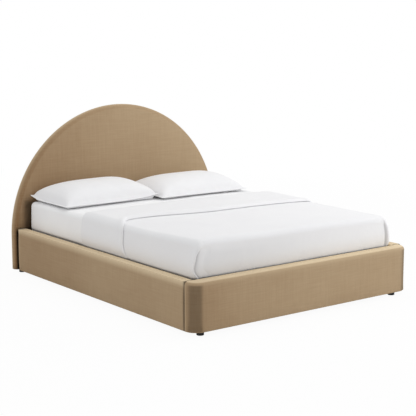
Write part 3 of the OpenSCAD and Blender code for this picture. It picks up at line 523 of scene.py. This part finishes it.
for side in flats:
    for k in range(ROLL_STEPS):
        a, b = (radians(90 * t / ROLL_STEPS) for t in (k, k + 1))
        inset([side], ROLL_R * (cos(a) - cos(b)), ROLL_R * (sin(b) - sin(a)))
for thickness in PANEL_STEPS:
    inset([f for f in flats if f.normal.y < 0], thickness)
for thickness, depth in ((BACK_RIM - ROLL_R, 0), (0.0004, -BACK_SINK)):
    inset([f for f in flats if f.normal.y > 0], thickness, depth)
cut_along(bm, "x", -ARCH_R, ARCH_R, CLOTH_GRID)
cut_along(bm, "z", head_low.z, head_high.z, CLOTH_GRID)
for v in bm.verts:
    if v.co.z < head_low.z + ROLL_R + 0.001:
        v.co.z = head_low.z
bmesh.ops.dissolve_degenerate(bm, dist=0.0008, edges=bm.edges[:])
for v in bm.verts:
    if v.co.y < head_low.y + 0.004:
        v.co.y += FOAM_CLEAR_WAVE * (1 + wander(v.co, 0.35, 3)) + 0.0002 * wander(v.co, 0.06, 5)
headboard = velvet_piece("headboard_velvet", bm, "headboard_cover")


def headboard_painted_light(point):
    """Painted highlight round the edge, painted shade just inside it, and painted light growing up the front
    and to the right.
    """
    inside = ARCH_R - hypot(point.x, max(0.0, point.z - ARCH_Z))
    on_front = point.y < head_low.y + ROLL_R
    facing = quarter_round(inside, ROLL_R) if on_front else 0.0
    inner_ring = ease(facing, 0.45, 0.75) * fade(facing, 0.93, 0.999)
    painted_gradient = 0.28 * point.x - 0.05 + 0.25 * (point.z - 0.75)
    return 0.30 * fade(facing, 0.2, 0.55) - 0.14 * inner_ring + (painted_gradient if on_front else 0.0)


def headboard_painted_shade(point):
    """Painted shade behind the mattress and in the gaps at the rails' ends."""
    if point.y > head_low.y + ROLL_R:
        return 0.0
    behind_bed = hypot(max(0.0, abs(point.x) - BED_SHADE_X), max(0.0, point.z - BED_SHADE_Z))
    behind_rail = hypot(max(0.0, abs(point.x) - RAIL_SHADE_X), max(0.0, point.z - RAIL_SHADE_Z))
    return max(0.80 * fade(behind_bed, -0.01, 0.045), 0.98 * fade(behind_rail, 0.0, 0.016))


mark(headboard, "painted_light_and_shade", headboard_painted_light)
mark(headboard, "painted_shade", headboard_painted_shade)

# %% [markdown]
# ## Side rails
#
# A rail is a board with foam on its outside and top, under one piece of velvet. Its outer top edge is
# a generous round, the inner one is tighter, and the lower edges are pulled sharp round the board. A
# box is beveled edge by edge with those radii, cut across along its length, and then pulled about by
# a millimetre or two, as stretched cloth over foam is.

# %% Side rails
def rounded_box(low, high, rounds):
    """A box whose edges are beveled in turn. Each round is (test of an edge's middle, radius, steps)."""
    bm = bmesh.new()
    placed = Matrix.Translation((low + high) / 2) @ Matrix.Diagonal((*(high - low), 1))
    bmesh.ops.create_cube(bm, size=1, matrix=placed)
    for test, radius, steps in rounds:
        edges = [e for e in bm.edges if test((e.verts[0].co + e.verts[1].co) / 2)]
        bmesh.ops.bevel(bm, geom=edges, offset=radius, offset_type="OFFSET", affect="EDGES", segments=steps,
                        profile=0.5, material=-1, clamp_overlap=True)
    return bm


def near(a, b):
    return abs(a - b) < 1e-4


RAIL_TOP_R = 0.028
RAIL_INNER_R = 0.014
RAIL_LOW_R = 0.006
RAIL_END_R = 0.020
RAIL_JOINT_R = 0.0045
BELLY, BELLY_WAVE = 0.0022, 0.0009

rails = []
for word in ("left", "right"):
    rail_low, rail_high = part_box(f"side_rail_cover_{word}")
    outer = rail_low.x if word == "left" else rail_high.x
    inner = rail_high.x if word == "left" else rail_low.x
    bm = rounded_box(rail_low, rail_high, [
        (lambda m: near(m.y, rail_high.y) and near(m.x, outer), RAIL_END_R, 6),
        (lambda m: near(m.z, rail_high.z) and near(m.x, outer), RAIL_TOP_R, 8),
        (lambda m: near(m.z, rail_high.z) and near(m.x, inner), RAIL_INNER_R, 5),
        (lambda m: near(m.z, rail_low.z), RAIL_LOW_R, 3),
        (lambda m: near(m.y, rail_low.y), RAIL_JOINT_R, 3),
    ])
    cut_along(bm, "y", rail_low.y, rail_high.y, CLOTH_GRID)
    cut_along(bm, "y", rail_low.y + 0.005, rail_low.y + 0.035, 0.01)
    cut_along(bm, "z", rail_low.z + 0.02, rail_high.z - 0.03, 0.04)
    cut_along(bm, "z", rail_high.z - 0.052, rail_high.z - 0.028, 0.008)
    away = -1 if word == "left" else 1
    for v in bm.verts:
        if abs(v.co.x - outer) < 0.002:
            top = ease(v.co.z, rail_high.z - 0.1, rail_high.z - 0.02)
            belly = ease(v.co.z, rail_low.z, rail_low.z + 0.06) * (1 - top)
            v.co.x += away * (BELLY * belly + BELLY_WAVE * wander(v.co, 0.25, 7) * belly)
        if v.co.z > rail_high.z - 0.03:
            v.co.z += 0.0006 * wander(v.co, 0.12, 11)
    rails.append(velvet_piece(f"side_rail_velvet_{word}", bm, f"side_rail_cover_{word}"))


def rail_painted_light(point):
    """Painted highlight on the top round and at the head end, and painted light a little stronger towards the
    foot.
    """
    shoulder = 0.98 * ease(point.z, rail_high.z - 0.044, rail_high.z - 0.012)
    end_edge = 0.20 * ease(point.y, rail_high.y - 0.034, rail_high.y - 0.022)
    return -0.18 + shoulder + end_edge + 0.20 * fade(point.y, -0.3, 0.6)


def rail_painted_shade(point):
    """Painted shade in the joint with the footboard and in the gap at the headboard."""
    joint = 0.55 * fade(point.y, rail_low.y + 0.0005, rail_low.y + 0.0050)
    joint += 0.18 * fade(point.y, rail_low.y, rail_low.y + 0.03)
    return max(joint, 0.95 * ease(point.y, rail_high.y - 0.018, rail_high.y - 0.009))


for rail in rails:
    mark(rail, "painted_light_and_shade", rail_painted_light)
    mark(rail, "painted_shade", rail_painted_shade)

# %% [markdown]
# ## Footboard
#
# The footboard goes round the two front corners in a large radius, so that the rails run into it with
# a fine upright joint. Where the velvet is drawn round and under the corner it gathers into a few
# small puckers near the bottom.

# %% Footboard
FOOT_CORNER_R = 0.080
FOOT_TOP_R = 0.024
PUCKER = 0.0022
foot_low, foot_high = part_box("footboard_cover")
bm = rounded_box(foot_low, foot_high, [
    (lambda m: near(m.y, foot_low.y) and near(abs(m.x), foot_high.x), FOOT_CORNER_R, 14),
    (lambda m: near(m.z, foot_high.z) and not near(m.y, foot_high.y), FOOT_TOP_R, 7),
    (lambda m: near(m.z, foot_high.z) and near(m.y, foot_high.y), 0.010, 4),
    (lambda m: near(m.z, foot_low.z) and not near(m.y, foot_high.y), RAIL_LOW_R, 3),
    (lambda m: near(m.y, foot_high.y) and near(abs(m.x), foot_high.x), RAIL_JOINT_R, 3),
])
cut_along(bm, "x", foot_low.x + FOOT_CORNER_R, foot_high.x - FOOT_CORNER_R, CLOTH_GRID)
cut_along(bm, "z", foot_low.z + 0.01, foot_high.z - 0.03, 0.02)
for v in bm.verts:
    height = v.co.z - foot_low.z
    side = copysign(1, v.co.x)
    centre = Vector((side * (foot_high.x - FOOT_CORNER_R), foot_low.y + FOOT_CORNER_R, v.co.z))
    outward = v.co - centre
    in_corner = abs(v.co.x) > foot_high.x - FOOT_CORNER_R and v.co.y < foot_low.y + FOOT_CORNER_R
    if in_corner and outward.length > FOOT_CORNER_R - 0.003:
        angle = degrees(atan2(-outward.y, abs(outward.x)))
        pucker = sin(radians(angle * 9)) * ease(angle, 5, 25) * fade(angle, 65, 88)
        v.co += outward.normalized() * (PUCKER * pucker * fade(height, 0.0, 0.07))
    elif v.co.y < foot_low.y + 0.002:
        belly = ease(height, 0.0, 0.06) * fade(height, 0.19, 0.26)
        v.co.y -= BELLY * belly + BELLY_WAVE * wander(v.co, 0.25, 17) * belly
footboard = velvet_piece("footboard_velvet", bm, "footboard_cover")


def foot_painted_light(point, normal):
    """Painted highlight on the top round and at the joint's edge, painted shade towards the left corner,
    and painted light a little stronger to the right."""
    shoulder = 0.16 * ease(point.z, foot_high.z - 0.034, foot_high.z - 0.012)
    shoulder += 0.84 * ease(point.z, foot_high.z - 0.006, foot_high.z - 0.0005)
    at_joint = fade(abs(point.y - foot_high.y + RAIL_JOINT_R), 0.001, 0.006)
    joint_edge = 0.40 * at_joint * fade(abs(normal.z), 0.1, 0.5)
    near_corner = -0.20 * ease(-point.x, 0.45, 0.82)
    return near_corner + shoulder + joint_edge + 0.05 + 0.04 * point.x


def foot_painted_shade(point, normal):
    """Painted shade round the upright corners and in the joint."""
    angle = degrees(atan2(max(0.0, -normal.y), abs(normal.x) + 1e-6))
    upright = fade(abs(normal.z), 0.1, 0.5)
    painted_corner_shade = 0.46 * ease(angle, 4, 32) * fade(angle, 70, 91) * upright
    joint = 0.70 * ease(point.y, foot_high.y - 0.0030, foot_high.y - 0.0005)
    return max(painted_corner_shade, joint * upright)


mark(footboard, "painted_light_and_shade", foot_painted_light, by_normal=True)
mark(footboard, "painted_shade", foot_painted_shade, by_normal=True)

# %% [markdown]
# ## The form of the bedding
#
# Mattress, fitted sheet, top sheet and quilt all follow one form: a box with rounded upright corners, a
# soft top edge, a slight crown across the bed and a left foot corner that the tucked cloth holds up.
# It is made once and cut into a grid. It stands a little in from the mattress's own size, and it bulges
# over the rails, which together with painted shade low on the cloth gives the fine dark line between
# bedding and frame. Every layer starts from a copy of it that is trimmed to its own length and then
# grown outwards by its own distance, so that no layer passes through the next.

# %% Bedding form
MATTRESS_CROWN = 0.005
RIGHT_CROWN = 0.010
MATTRESS_EDGE_R = 0.034
MATTRESS_LOW_R = 0.014
FORM_INSET = 0.0153
FORM_CORNER_R = 0.032
SIDE_BULGE = 0.0105
CORNER_LIFT = 0.020
CORNER_AXIS_IN = 0.100
GRID = 0.04
RAIL_LINE_ROWS = (0.314, 0.319, 0.323, 0.328, 0.334, 0.341, 0.350)
bed_low, bed_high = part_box("mattress")
half_w = bed_high.x
step_in = Vector((FORM_INSET, FORM_INSET, 0))

form = rounded_box(bed_low + step_in, bed_high - step_in, [
    (lambda m: near(m.z, (bed_low.z + bed_high.z) / 2), FORM_CORNER_R, 8),
    (lambda m: near(m.z, bed_high.z), MATTRESS_EDGE_R, 7),
    (lambda m: near(m.z, bed_low.z), MATTRESS_LOW_R, 2),
])
cut_along(form, "x", bed_low.x, bed_high.x, GRID)
cut_along(form, "y", bed_low.y, bed_high.y, GRID)
cut_along(form, "z", bed_low.z + 0.015, bed_high.z - MATTRESS_EDGE_R, GRID)
for z in RAIL_LINE_ROWS:
    cut_plane(form, (0, 0, z), (0, 0, 1))


def height_change(x, y):
    """The crown, which falls further on the right of the foot half, and the left foot corner's lift."""
    across = min(abs(x), half_w) / half_w
    crown = MATTRESS_CROWN + (RIGHT_CROWN * fade(y, 0.10, 0.42) if x > 0 else 0.0)
    lift = CORNER_LIFT * ease(-y, 0.45, 0.98) * ease(-x / half_w, 0.15, 0.95)
    return lift - crown * across ** 2


form.normal_update()
for v, level in [(v, Vector((v.normal.x, v.normal.y, 0))) for v in form.verts]:
    bulge = ease(v.co.z, 0.314, 0.334) * fade(v.co.z, 0.36, 0.50) * (1 - 0.7 * ease(v.co.y, 0.80, 0.98))
    v.co += level * (SIDE_BULGE * bulge)
    v.co.z += height_change(v.co.x, v.co.y) * ease(v.co.z, bed_high.z - 0.13, bed_high.z - 0.03)
bmesh.ops.recalc_face_normals(form, faces=form.faces[:])
print("bedding form", len(form.verts), "points")


# %% Soft ups and downs shared by all layers
def softness(point):
    """How far the bedding stands out or sinks in at a point of the form, in metres."""
    broad = 0.0035 * wander(point, 0.42, 21)
    small = 0.0012 * wander(point, 0.15, 23)
    return broad + small


def painted_shade_at_rails(point):
    """Painted shade on the bedding where it goes down between the rails."""
    return 0.62 * ease(point.z, 0.306, 0.316) * fade(point.z, 0.321, 0.330)


def puff(point, direction):
    """How much further the quilt's filling pushes its sides out, half way up them."""
    up = ease(point.z, 0.335, 0.40) * fade(point.z, 0.42, 0.50)
    return 0.003 * up * (1 - max(0.0, direction.z))


def lay_over(foot_y, head_y, hem_z, inner, outer, puffs=(0, 0), extra_rows=(), ready=None, shape=None):
    """A closed layer of cloth over the form, from foot_y to head_y and down to hem_z.
    inner and outer give its distance from the form at the sides and on top, in metres."""
    bm = form.copy()
    cut_plane(bm, (0, foot_y, 0), (0, -1, 0), clear=True)
    cut_plane(bm, (0, head_y, 0), (0, 1, 0), clear=True)
    cut_plane(bm, (0, 0, hem_z), (0, 0, -1), clear=True)
    for y in extra_rows:
        cut_plane(bm, (0, y, 0), (0, 1, 0))
    if ready:
        ready(bm)
    bm.normal_update()
    out = bm.verts.layers.float_vector.new("out")
    on_outer = bm.verts.layers.float.new("on_outer")
    for v in bm.verts:
        v[out] = v.normal
    grown = bmesh.ops.extrude_face_region(bm, geom=bm.faces[:], use_keep_orig=True)["geom"]
    for v in verts_in(grown):
        v[on_outer] = 1.0
    for v in bm.verts:
        direction = Vector(v[out])
        is_outer = v[on_outer] > 0.5
        pair = outer if is_outer else inner
        at_rest = v.co.copy()
        distance = pair[0] + (pair[1] - pair[0]) * max(0.0, direction.z) + softness(at_rest)
        distance += puffs[is_outer] * puff(at_rest, direction)
        v.co += direction * distance
        if shape:
            v.co += shape(at_rest, direction, is_outer)
    bmesh.ops.recalc_face_normals(bm, faces=bm.faces[:])
    return bm


print("layers are grown from", len(form.faces), "faces")

# %% [markdown]
# ## Mattress and fitted sheet
#
# Only the head end of the fitted sheet shows, but the mattress is finished in ticking for the day the
# bed is stripped. The sheet is pulled tight round it.

# %% Mattress
bm = form.copy()
bm.normal_update()
ticking_moves = [(v, v.normal * softness(v.co)) for v in bm.verts if v.co.z > bed_low.z + 0.01]
for v, move in ticking_moves:
    v.co += move
make_piece("mattress_ticking_body", bm, mattress_ticking, "dressed_mattress", "mattress",
           levels=1)

# %% Fitted sheet
SHEET_GAP = 0.0006
SHEET_OUT = 0.0018
SHEET_HEM_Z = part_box("fitted_sheet")[0].z
bm = lay_over(bed_low.y - 1, bed_high.y + 1, SHEET_HEM_Z, (SHEET_GAP, SHEET_GAP), (SHEET_OUT, SHEET_OUT))
fitted = cotton_layer("fitted_sheet", bm, fitted_percale_painted_whiter)
# Painted shade low on the sheet, between the rails.
mark(fitted, "painted_shade", painted_shade_at_rails)

# %% [markdown]
# ## Quilt
#
# The quilt is a thin filled layer that covers the bed up to the turned-down sheet and is tucked in all
# round. At each foot corner the spare cloth is folded under itself, which leaves an upright crease on
# the left and pads the corner out on the right. The corner is cut with more planes, which fan out from
# its upright axis. The planes are bent to follow the crease. Then the cloth steps in at the crease and
# eases out again beyond it.

# %% Quilt corners
CREASE_AT = 50.0
FAN = (8, 16, 24, 31, 37, 42, 46, 48.6, 50, 51.2, 52.6, 55, 59, 64, 70, 77, 84)
CORNER_ROWS = [0.305 + 0.012 * k for k in range(18)]
LEFT_CREASE = ((0.300, 58), (0.322, 54), (0.345, 45), (0.368, 39), (0.395, 40), (0.424, 43), (0.460, 46),
               (0.508, 60), (0.530, 70))
RIGHT_CREASE = ((0.300, 60), (0.510, 60))
RIGHT_PAD = 0.015


def along(table, at):
    """Reads a table of (place, value) pairs between its rows."""
    for (a, low_value), (b, high_value) in zip(table, table[1:]):
        if at <= b:
            return low_value + (high_value - low_value) * max(0.0, (at - a) / (b - a))
    return table[-1][1]


def corner_axis(side):
    return Vector((side * (half_w - CORNER_AXIS_IN), bed_low.y + CORNER_AXIS_IN, 0))


def around(point, side):
    """The angle round a foot corner, 0 on the side and 90 on the foot, and the distance from its axis."""
    from_axis = point - corner_axis(side)
    return degrees(atan2(-from_axis.y, side * from_axis.x)), hypot(from_axis.x, from_axis.y)


def at_angle(side, angle, reach, z):
    a = radians(angle)
    return corner_axis(side) + Vector((side * cos(a) * reach, -sin(a) * reach, z))


def form_reach(angle):
    """How far the form's corner is from its axis, at an angle round it."""
    a = radians(angle)
    flat, arc_in = CORNER_AXIS_IN - FORM_INSET, CORNER_AXIS_IN - FORM_INSET - FORM_CORNER_R
    wide, narrow = max(cos(a), sin(a)), min(cos(a), sin(a))
    if flat * narrow < arc_in * wide:
        return flat / wide
    middle = arc_in * (wide + narrow)
    return middle + sqrt(max(0.0, middle ** 2 - 2 * arc_in ** 2 + FORM_CORNER_R ** 2))


def cut_corners(bm):
    for side, crease in ((-1, LEFT_CREASE), (1, RIGHT_CREASE)):
        axis = corner_axis(side)
        turns = [radians(angle) for angle in FAN]
        planes = [(axis, Vector((side * sin(a), cos(a), 0))) for a in turns]
        planes += [(Vector((0, 0, z)), Vector((0, 0, 1))) for z in CORNER_ROWS]
        for point, normal in planes:
            faces = [f for f in bm.faces if side * (f.calc_center_median().x - axis.x) > -0.01
                     and f.calc_center_median().y < axis.y + 0.01]
            ends = {v for f in faces for v in f.verts}
            geom = [*ends, *{e for f in faces for e in f.edges}, *faces]
            bmesh.ops.bisect_plane(bm, geom=geom, dist=1e-5, plane_co=point, plane_no=normal)
        for v in bm.verts:
            angle, reach = around(v.co, side)
            if 0.5 < angle < 89.5 and reach > 0.06:
                bend = along(crease, v.co.z) - CREASE_AT
                share = (min(angle / CREASE_AT, (90 - angle) / (90 - CREASE_AT))) * ease(reach, 0.06, 0.09)
                turned = angle + bend * share
                v.co = at_angle(side, turned, reach * form_reach(turned) / form_reach(angle), v.co.z)


def past_crease(point):
    """How many degrees past the left corner's crease a point is; it runs on along the foot."""
    return around(point, -1)[0] - along(LEFT_CREASE, point.z)


def quilt_shape(point, direction, is_outer):
    move = Vector((0, 0, 0))
    if not is_outer:
        return move
    flat_side = 1 - max(0.0, direction.z)
    taper = ease(point.y, quilt_high.y - 0.08, quilt_high.y)
    move -= direction * (0.010 * taper * (1 - flat_side))
    side = -1 if point.x < 0 else 1
    angle, reach = around(point, side)
    if not (0 < angle < 150 and reach > 0.04):
        return move
    outward = (at_angle(side, min(angle, 90), 1.0, 0) - corner_axis(side)).normalized()
    if side < 0:
        past = past_crease(point)
        step = ease(past, 0.0, 2.6)
        recess = 0.0130 * step * fade(past, 3.0, 62.0)
        lip = 0.0045 * (1 - step) * exp(-(min(past, 0.0) / 11.0) ** 2)
        return move + outward * ((lip - recess) * fade(point.z, 0.470, 0.520) * flat_side)
    pad = RIGHT_PAD * (0.5 + 0.5 * ease(point.z, 0.325, 0.350)) * ease(angle, 0, 20) * fade(angle, 54, 62)
    return move + outward * (pad * fade(point.z, 0.44, 0.51) * flat_side)


print("left corner's crease at", [round(along(LEFT_CREASE, z), 1) for z in (0.33, 0.40, 0.46)], "degrees")

# %% Quilt
quilt_low, quilt_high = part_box("quilt")
QUILT_IN = 0.0040
QUILT_SIDE = 0.0078
QUILT_TOP = 0.0180

bm = lay_over(bed_low.y - 1, quilt_high.y, quilt_low.z, (QUILT_IN, QUILT_IN), (QUILT_SIDE, QUILT_TOP),
              puffs=(0, 1), extra_rows=(quilt_high.y - 0.012, quilt_high.y - 0.035), ready=cut_corners,
              shape=quilt_shape)
quilt = cotton_layer("quilt", bm, white_percale)


def quilt_painted_shade(point):
    """Painted shade between the rails, beside the crease and the padded corner, and faintly along the foot.
    """
    on_foot = ease(-point.y, 0.970, 0.992) * fade(point.z, 0.470, 0.530)
    shade = max(painted_shade_at_rails(point), 0.12 * on_foot * fade(point.x, -0.70, 0.55))
    side = -1 if point.x < 0 else 1
    angle, reach = around(point, side)
    if 0 < angle < 150 and reach > 0.08:
        past = past_crease(point) if side < 0 else 64 - angle
        wide = 0.12 * fade(past, 4, 50 if side < 0 else 20)
        in_fold = ease(past, 0.2, 2.6) * (0.22 * fade(past, 2.6, 9.0) + wide)
        shade = max(shade, in_fold * fade(point.z, 0.46, 0.52))
    return shade


mark(quilt, "painted_shade", quilt_painted_shade)

# %% [markdown]
# ## Top sheet and its turned-down cuff
#
# The top sheet lies under the quilt, comes out at the quilt's head end and is turned back over it as a
# wide cuff. Its free edge is a soft roll that lies a little askew, and low on the sides it drifts
# towards the foot. The part under the quilt and the cuff are grown from the form as two layers, and
# the open ends of the two are bridged, so that the fold is one piece of cloth round the quilt's edge.

# %% Top sheet
top_low, top_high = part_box("top_sheet")
UNDER_FOOT_Y = top_low.y
UNDER_HEM_Z = top_low.z
FOLD_Y = top_high.y
CUFF_EDGE_Y = -0.247
CUFF_ROLL = 0.034
FOLD_ROLL = 0.024
CUFF_IN = (0.0084, 0.0186)
CUFF_OUT = (0.0116, 0.0366)
FOLD_ROWS = tuple(FOLD_Y - d for d in (0.002, 0.005, 0.010, 0.017, 0.026, 0.045, 0.07))
EDGE_ROWS = tuple(CUFF_EDGE_Y + d for d in (0.0012, 0.003, 0.006, 0.010, 0.015, 0.021, 0.028, 0.036, 0.048))


def cuff_shape(point, direction, is_outer):
    free = fade(point.y, CUFF_EDGE_Y, CUFF_EDGE_Y + 0.35)
    near_hem = fade(point.z, 0.315, 0.40)
    askew = (0.018 + 0.108 * ease(-point.x, 0.0, 0.62)) * fade(abs(point.x), 0.69, 0.80)
    slide = askew - 0.045 * near_hem + 0.004 * wander(Vector((point.x, 0, 0)), 0.3, 31)
    curl = 0.0 if is_outer else 0.009 * fade(point.y, CUFF_EDGE_Y, CUFF_EDGE_Y + 0.02)
    move = Vector((0, slide * free + curl, 0))
    side_share = 1 - max(0.0, direction.z)
    full = (CUFF_OUT[0] - CUFF_IN[0]) * side_share + (CUFF_OUT[1] - CUFF_IN[1]) * (1 - side_share)
    if is_outer:
        from_edge = point.y - CUFF_EDGE_Y
        roll = ease(from_edge, 0.0, 0.015) * fade(from_edge, 0.03, 0.09)
        extra = 0.010 * side_share * ease(point.z, 0.335, 0.38) + 0.005 * roll * ease(point.z, 0.335, 0.38)
        edge = 0.22 + 0.78 * quarter_round(from_edge, CUFF_ROLL)
        nose = 0.12 + 0.88 * quarter_round(FOLD_Y - point.y, FOLD_ROLL)
        move += direction * ((full + extra) * min(edge, nose) - full)
    sink = ease(point.y, FOLD_Y - 0.09, FOLD_Y)
    move -= direction * (0.009 * sink * (1 - side_share) + 0.004 * sink * side_share)
    return move


def mark_fold(bm, first):
    """Writes on each point of the fold's end its layer's inside, first, or its outside, first + 1."""
    on_outer = bm.verts.layers.float["on_outer"]
    fold = bm.verts.layers.float.new("fold")
    for v in bm.verts:
        if abs(v.co.y - FOLD_Y) < 0.0015:
            v[fold] = first + (v[on_outer] > 0.5)


under = lay_over(UNDER_FOOT_Y, FOLD_Y, UNDER_HEM_Z, (0.0024, 0.0024), (0.0032, 0.0032), extra_rows=FOLD_ROWS)
mark_fold(under, 1)
cuff = lay_over(CUFF_EDGE_Y, FOLD_Y, UNDER_HEM_Z, CUFF_IN, CUFF_OUT, puffs=(1, 1),
                extra_rows=FOLD_ROWS + EDGE_ROWS, shape=cuff_shape)
mark_fold(cuff, 3)
cuff_mesh = bpy.data.meshes.new("cuff_part")
cuff.to_mesh(cuff_mesh)
cuff.free()
under.from_mesh(cuff_mesh)
bpy.data.meshes.remove(cuff_mesh)
fold = under.verts.layers.float["fold"]
mark_of = {v: round(v[fold]) for v in under.verts}
print("fold points", [list(mark_of.values()).count(m) for m in (1, 2, 3, 4)])

# %% Bridge the fold
walls = [f for f in under.faces if all(mark_of[v] for v in f.verts)]
bmesh.ops.delete(under, geom=walls, context="FACES_ONLY")
edges = [e for e in under.edges if e.is_boundary]
chains = {m: [e for e in edges if all(mark_of.get(v) == m for v in e.verts)] for m in (1, 2, 3, 4)}
for a, b in ((1, 4), (2, 3)):
    bmesh.ops.bridge_loops(under, edges=chains[a] + chains[b])
loose = [e for e in under.edges if e.is_boundary]
bmesh.ops.holes_fill(under, edges=loose, sides=4)
open_edges = sum(e.is_boundary for e in under.edges)
print("bridged", [len(chains[m]) for m in (1, 2, 3, 4)], "open edges left", open_edges)
top_sheet = cotton_layer("top_sheet", under, white_percale)
# Painted shade low on the sheet, between the rails.
mark(top_sheet, "painted_shade", painted_shade_at_rails)

# %% [markdown]
# ## Pillows
#
# Each pillow is a soft filling in a sham with a narrow flat border. It is full up to its seams, its
# corners stand up as pointed ears, and its middle presses down on the sheet. It starts as a block cut
# into a fine grid, which is shaped between four given corner points, blown up with Blender's cloth
# solver, which pulls small creases into the seams, and then given its border.

# %% Pillow helpers
BLOCK_X, BLOCK_Y = 0.375, 0.26
PILLOW_BORDER = 0.012
PILLOW_GRID = 0.014
PILLOW_DRAW = 0.030
PILLOW_CAP = 0.005
PILLOW_EDGE_LOW = 0.018
SEAM_HALF = 0.003
ROOM_TO_BLOW = 0.012
BORDER_DROOP = 0.0015
CLOTH_FRAMES = 20
CLOTH = {"quality": 6, "use_pressure": True, "uniform_pressure_force": 4.0, "tension_stiffness": 12,
         "compression_stiffness": 12, "bending_stiffness": 0.3, "shrink_min": -0.03}


def bed_top(x):
    return bed_high.z + SHEET_OUT - MATTRESS_CROWN * (abs(x) / half_w) ** 2


def fullness(u, w, profile):
    """Share of a pillow's full height from its seams, 0, to its highest place, 1. The profile gives where
    that is across the pillow, how boxy it is to its left, right, back and front, and how steeply it rises."""
    top_at, left, right, back, front, rise = profile
    across = (u - top_at) / (1 - top_at) if u > top_at else (top_at - u) / (1 + top_at)
    side = 1 - min(1.0, across) ** (right if u > top_at else left)
    return max(0.0, side * (1 - min(1.0, abs(w)) ** (back if w > 0 else front))) ** rise


def between(corners, u, w):
    """The point of a four-cornered patch at u across it and w up it, each from -1 to 1."""
    front_left, front_right, back_left, back_right = corners
    front = front_left.lerp(front_right, (u + 1) / 2)
    return front.lerp(back_left.lerp(back_right, (u + 1) / 2), (w + 1) / 2)


def seam_line(corners, u, w):
    """Where the seam plane of the pillow is: low along the edges, up at the ears."""
    at = between(corners, u * (1 - PILLOW_DRAW * (1 - w * w)), w * (1 - 1.6 * PILLOW_DRAW * (1 - u * u)))
    at.z = PILLOW_EDGE_LOW + (at.z - PILLOW_EDGE_LOW) * (abs(u) * abs(w)) ** 2.4
    return at


def pillow_start(corners, crest, profile):
    """A closed pillow without its border, and the faces of the narrow seam band round it."""
    front_left, front_right, back_left, _ = corners
    share_x = 1 - 2 * PILLOW_BORDER / (front_right - front_left).length
    share_y = 1 - 2 * PILLOW_BORDER / (back_left - front_left).length
    bm = rounded_box(Vector((-BLOCK_X, -BLOCK_Y, -0.01)), Vector((BLOCK_X, BLOCK_Y, 0.01)), [])
    cut_along(bm, "x", -BLOCK_X, BLOCK_X, PILLOW_GRID)
    cut_along(bm, "y", -BLOCK_Y, BLOCK_Y, PILLOW_GRID)
    bm.normal_update()
    band = [f for f in bm.faces if abs(f.normal.z) < 0.5]
    along_u = bm.verts.layers.float.new("along_u")
    along_w = bm.verts.layers.float.new("along_w")
    is_top = bm.verts.layers.float.new("is_top")
    for v in bm.verts:
        u, w = v.co.x / BLOCK_X, v.co.y / BLOCK_Y
        top = v.co.z > 0
        v[along_u], v[along_w], v[is_top] = u, w, 1.0 if top else 0.0
        full = fullness(u, w, profile)
        at = seam_line(corners, u * share_x, w * share_y)
        if top:
            height = at.z + SEAM_HALF + (crest - PILLOW_EDGE_LOW - SEAM_HALF - ROOM_TO_BLOW) * full
        else:
            height = max(0.004, (at.z - SEAM_HALF) * (1 - min(1.0, 4 * full)))
        v.co = Vector((at.x, at.y, bed_top(at.x) + height))
    return bm, band


def add_border(bm, band, corners):
    """Pulls the seam band out into the sham's flat border, which ends in the pointed ears."""
    along_u, along_w, is_top = (bm.verts.layers.float[n] for n in ("along_u", "along_w", "is_top"))
    for share in (0.45, 1.0):
        grown = bmesh.ops.extrude_face_region(bm, geom=band)["geom"]
        band = faces_in(grown)
        half = SEAM_HALF * (1 - 0.6 * share)
        droop = BORDER_DROOP * sin(pi * share)
        for v in verts_in(grown):
            at = seam_line(corners, v[along_u], v[along_w])
            at.z += bed_top(at.x) + (half if v[is_top] > 0.5 else -half) - droop
            v.co = v.co.lerp(at, share)


def blow_up(bm, name, cap):
    """Runs the cloth solver on a closed mesh and moves its points by the result, none further than cap."""
    mesh = bpy.data.meshes.new(name)
    bm.to_mesh(mesh)
    held = bpy.data.objects.new(name, mesh)
    show(held)
    cloth = held.modifiers.new("cloth", "CLOTH")
    for setting, value in CLOTH.items():
        setattr(cloth.settings, setting, value)
    cloth.settings.effector_weights.gravity = 0
    cloth.point_cache.frame_start = 1
    cloth.point_cache.frame_end = CLOTH_FRAMES
    for number in range(1, CLOTH_FRAMES + 1):
        bpy.context.scene.frame_set(number)
    blown = held.evaluated_get(bpy.context.evaluated_depsgraph_get()).to_mesh()
    moved = 0.0
    for v, after in zip(bm.verts, blown.vertices):
        step = Vector(after.co) - v.co
        if step.length > cap:
            step *= cap / step.length
        moved = max(moved, step.length)
        v.co += step
    bpy.data.objects.remove(held)
    bpy.context.scene.frame_set(1)
    print(name, "moved up to", round(moved * 1000, 1), "mm")


# %% Pillows
OVER_SHEET = 0.0008
# Each pillow's corners at the front left, front right, back left and back right; z is over the sheet.
PILLOWS = {
    "left": ((-0.778, 0.500, 0.023), (-0.020, 0.480, 0.047), (-0.776, 1.004, 0.045), (-0.030, 1.000, 0.060)),
    "right": ((-0.033, 0.425, 0.020), (0.738, 0.416, 0.024), (-0.030, 0.930, 0.044), (0.725, 0.930, 0.045)),
}
CREST = {"left": 0.158, "right": 0.146}
PILLOW_PROFILE = {"left": (0.17, 3.4, 3.3, 2.3, 1.7, 0.39), "right": (0.30, 4.1, 3.0, 2.7, 1.8, 0.47)}

for word, places in PILLOWS.items():
    corners = [Vector(place) for place in places]
    bm, band = pillow_start(corners, CREST[word], PILLOW_PROFILE[word])
    blow_up(bm, f"pillow_{word}_blown", PILLOW_CAP)
    add_border(bm, band, corners)
    print("band faces", word, len(band))
    for v in bm.verts:
        v.co.z = max(v.co.z, bed_top(v.co.x) + OVER_SHEET)
    make_piece(f"pillow_{word}_sham", bm, white_sham, f"{word}_pillow", f"pillow_{word}",
               levels=1)

# %% Free the bedding form
form.free()
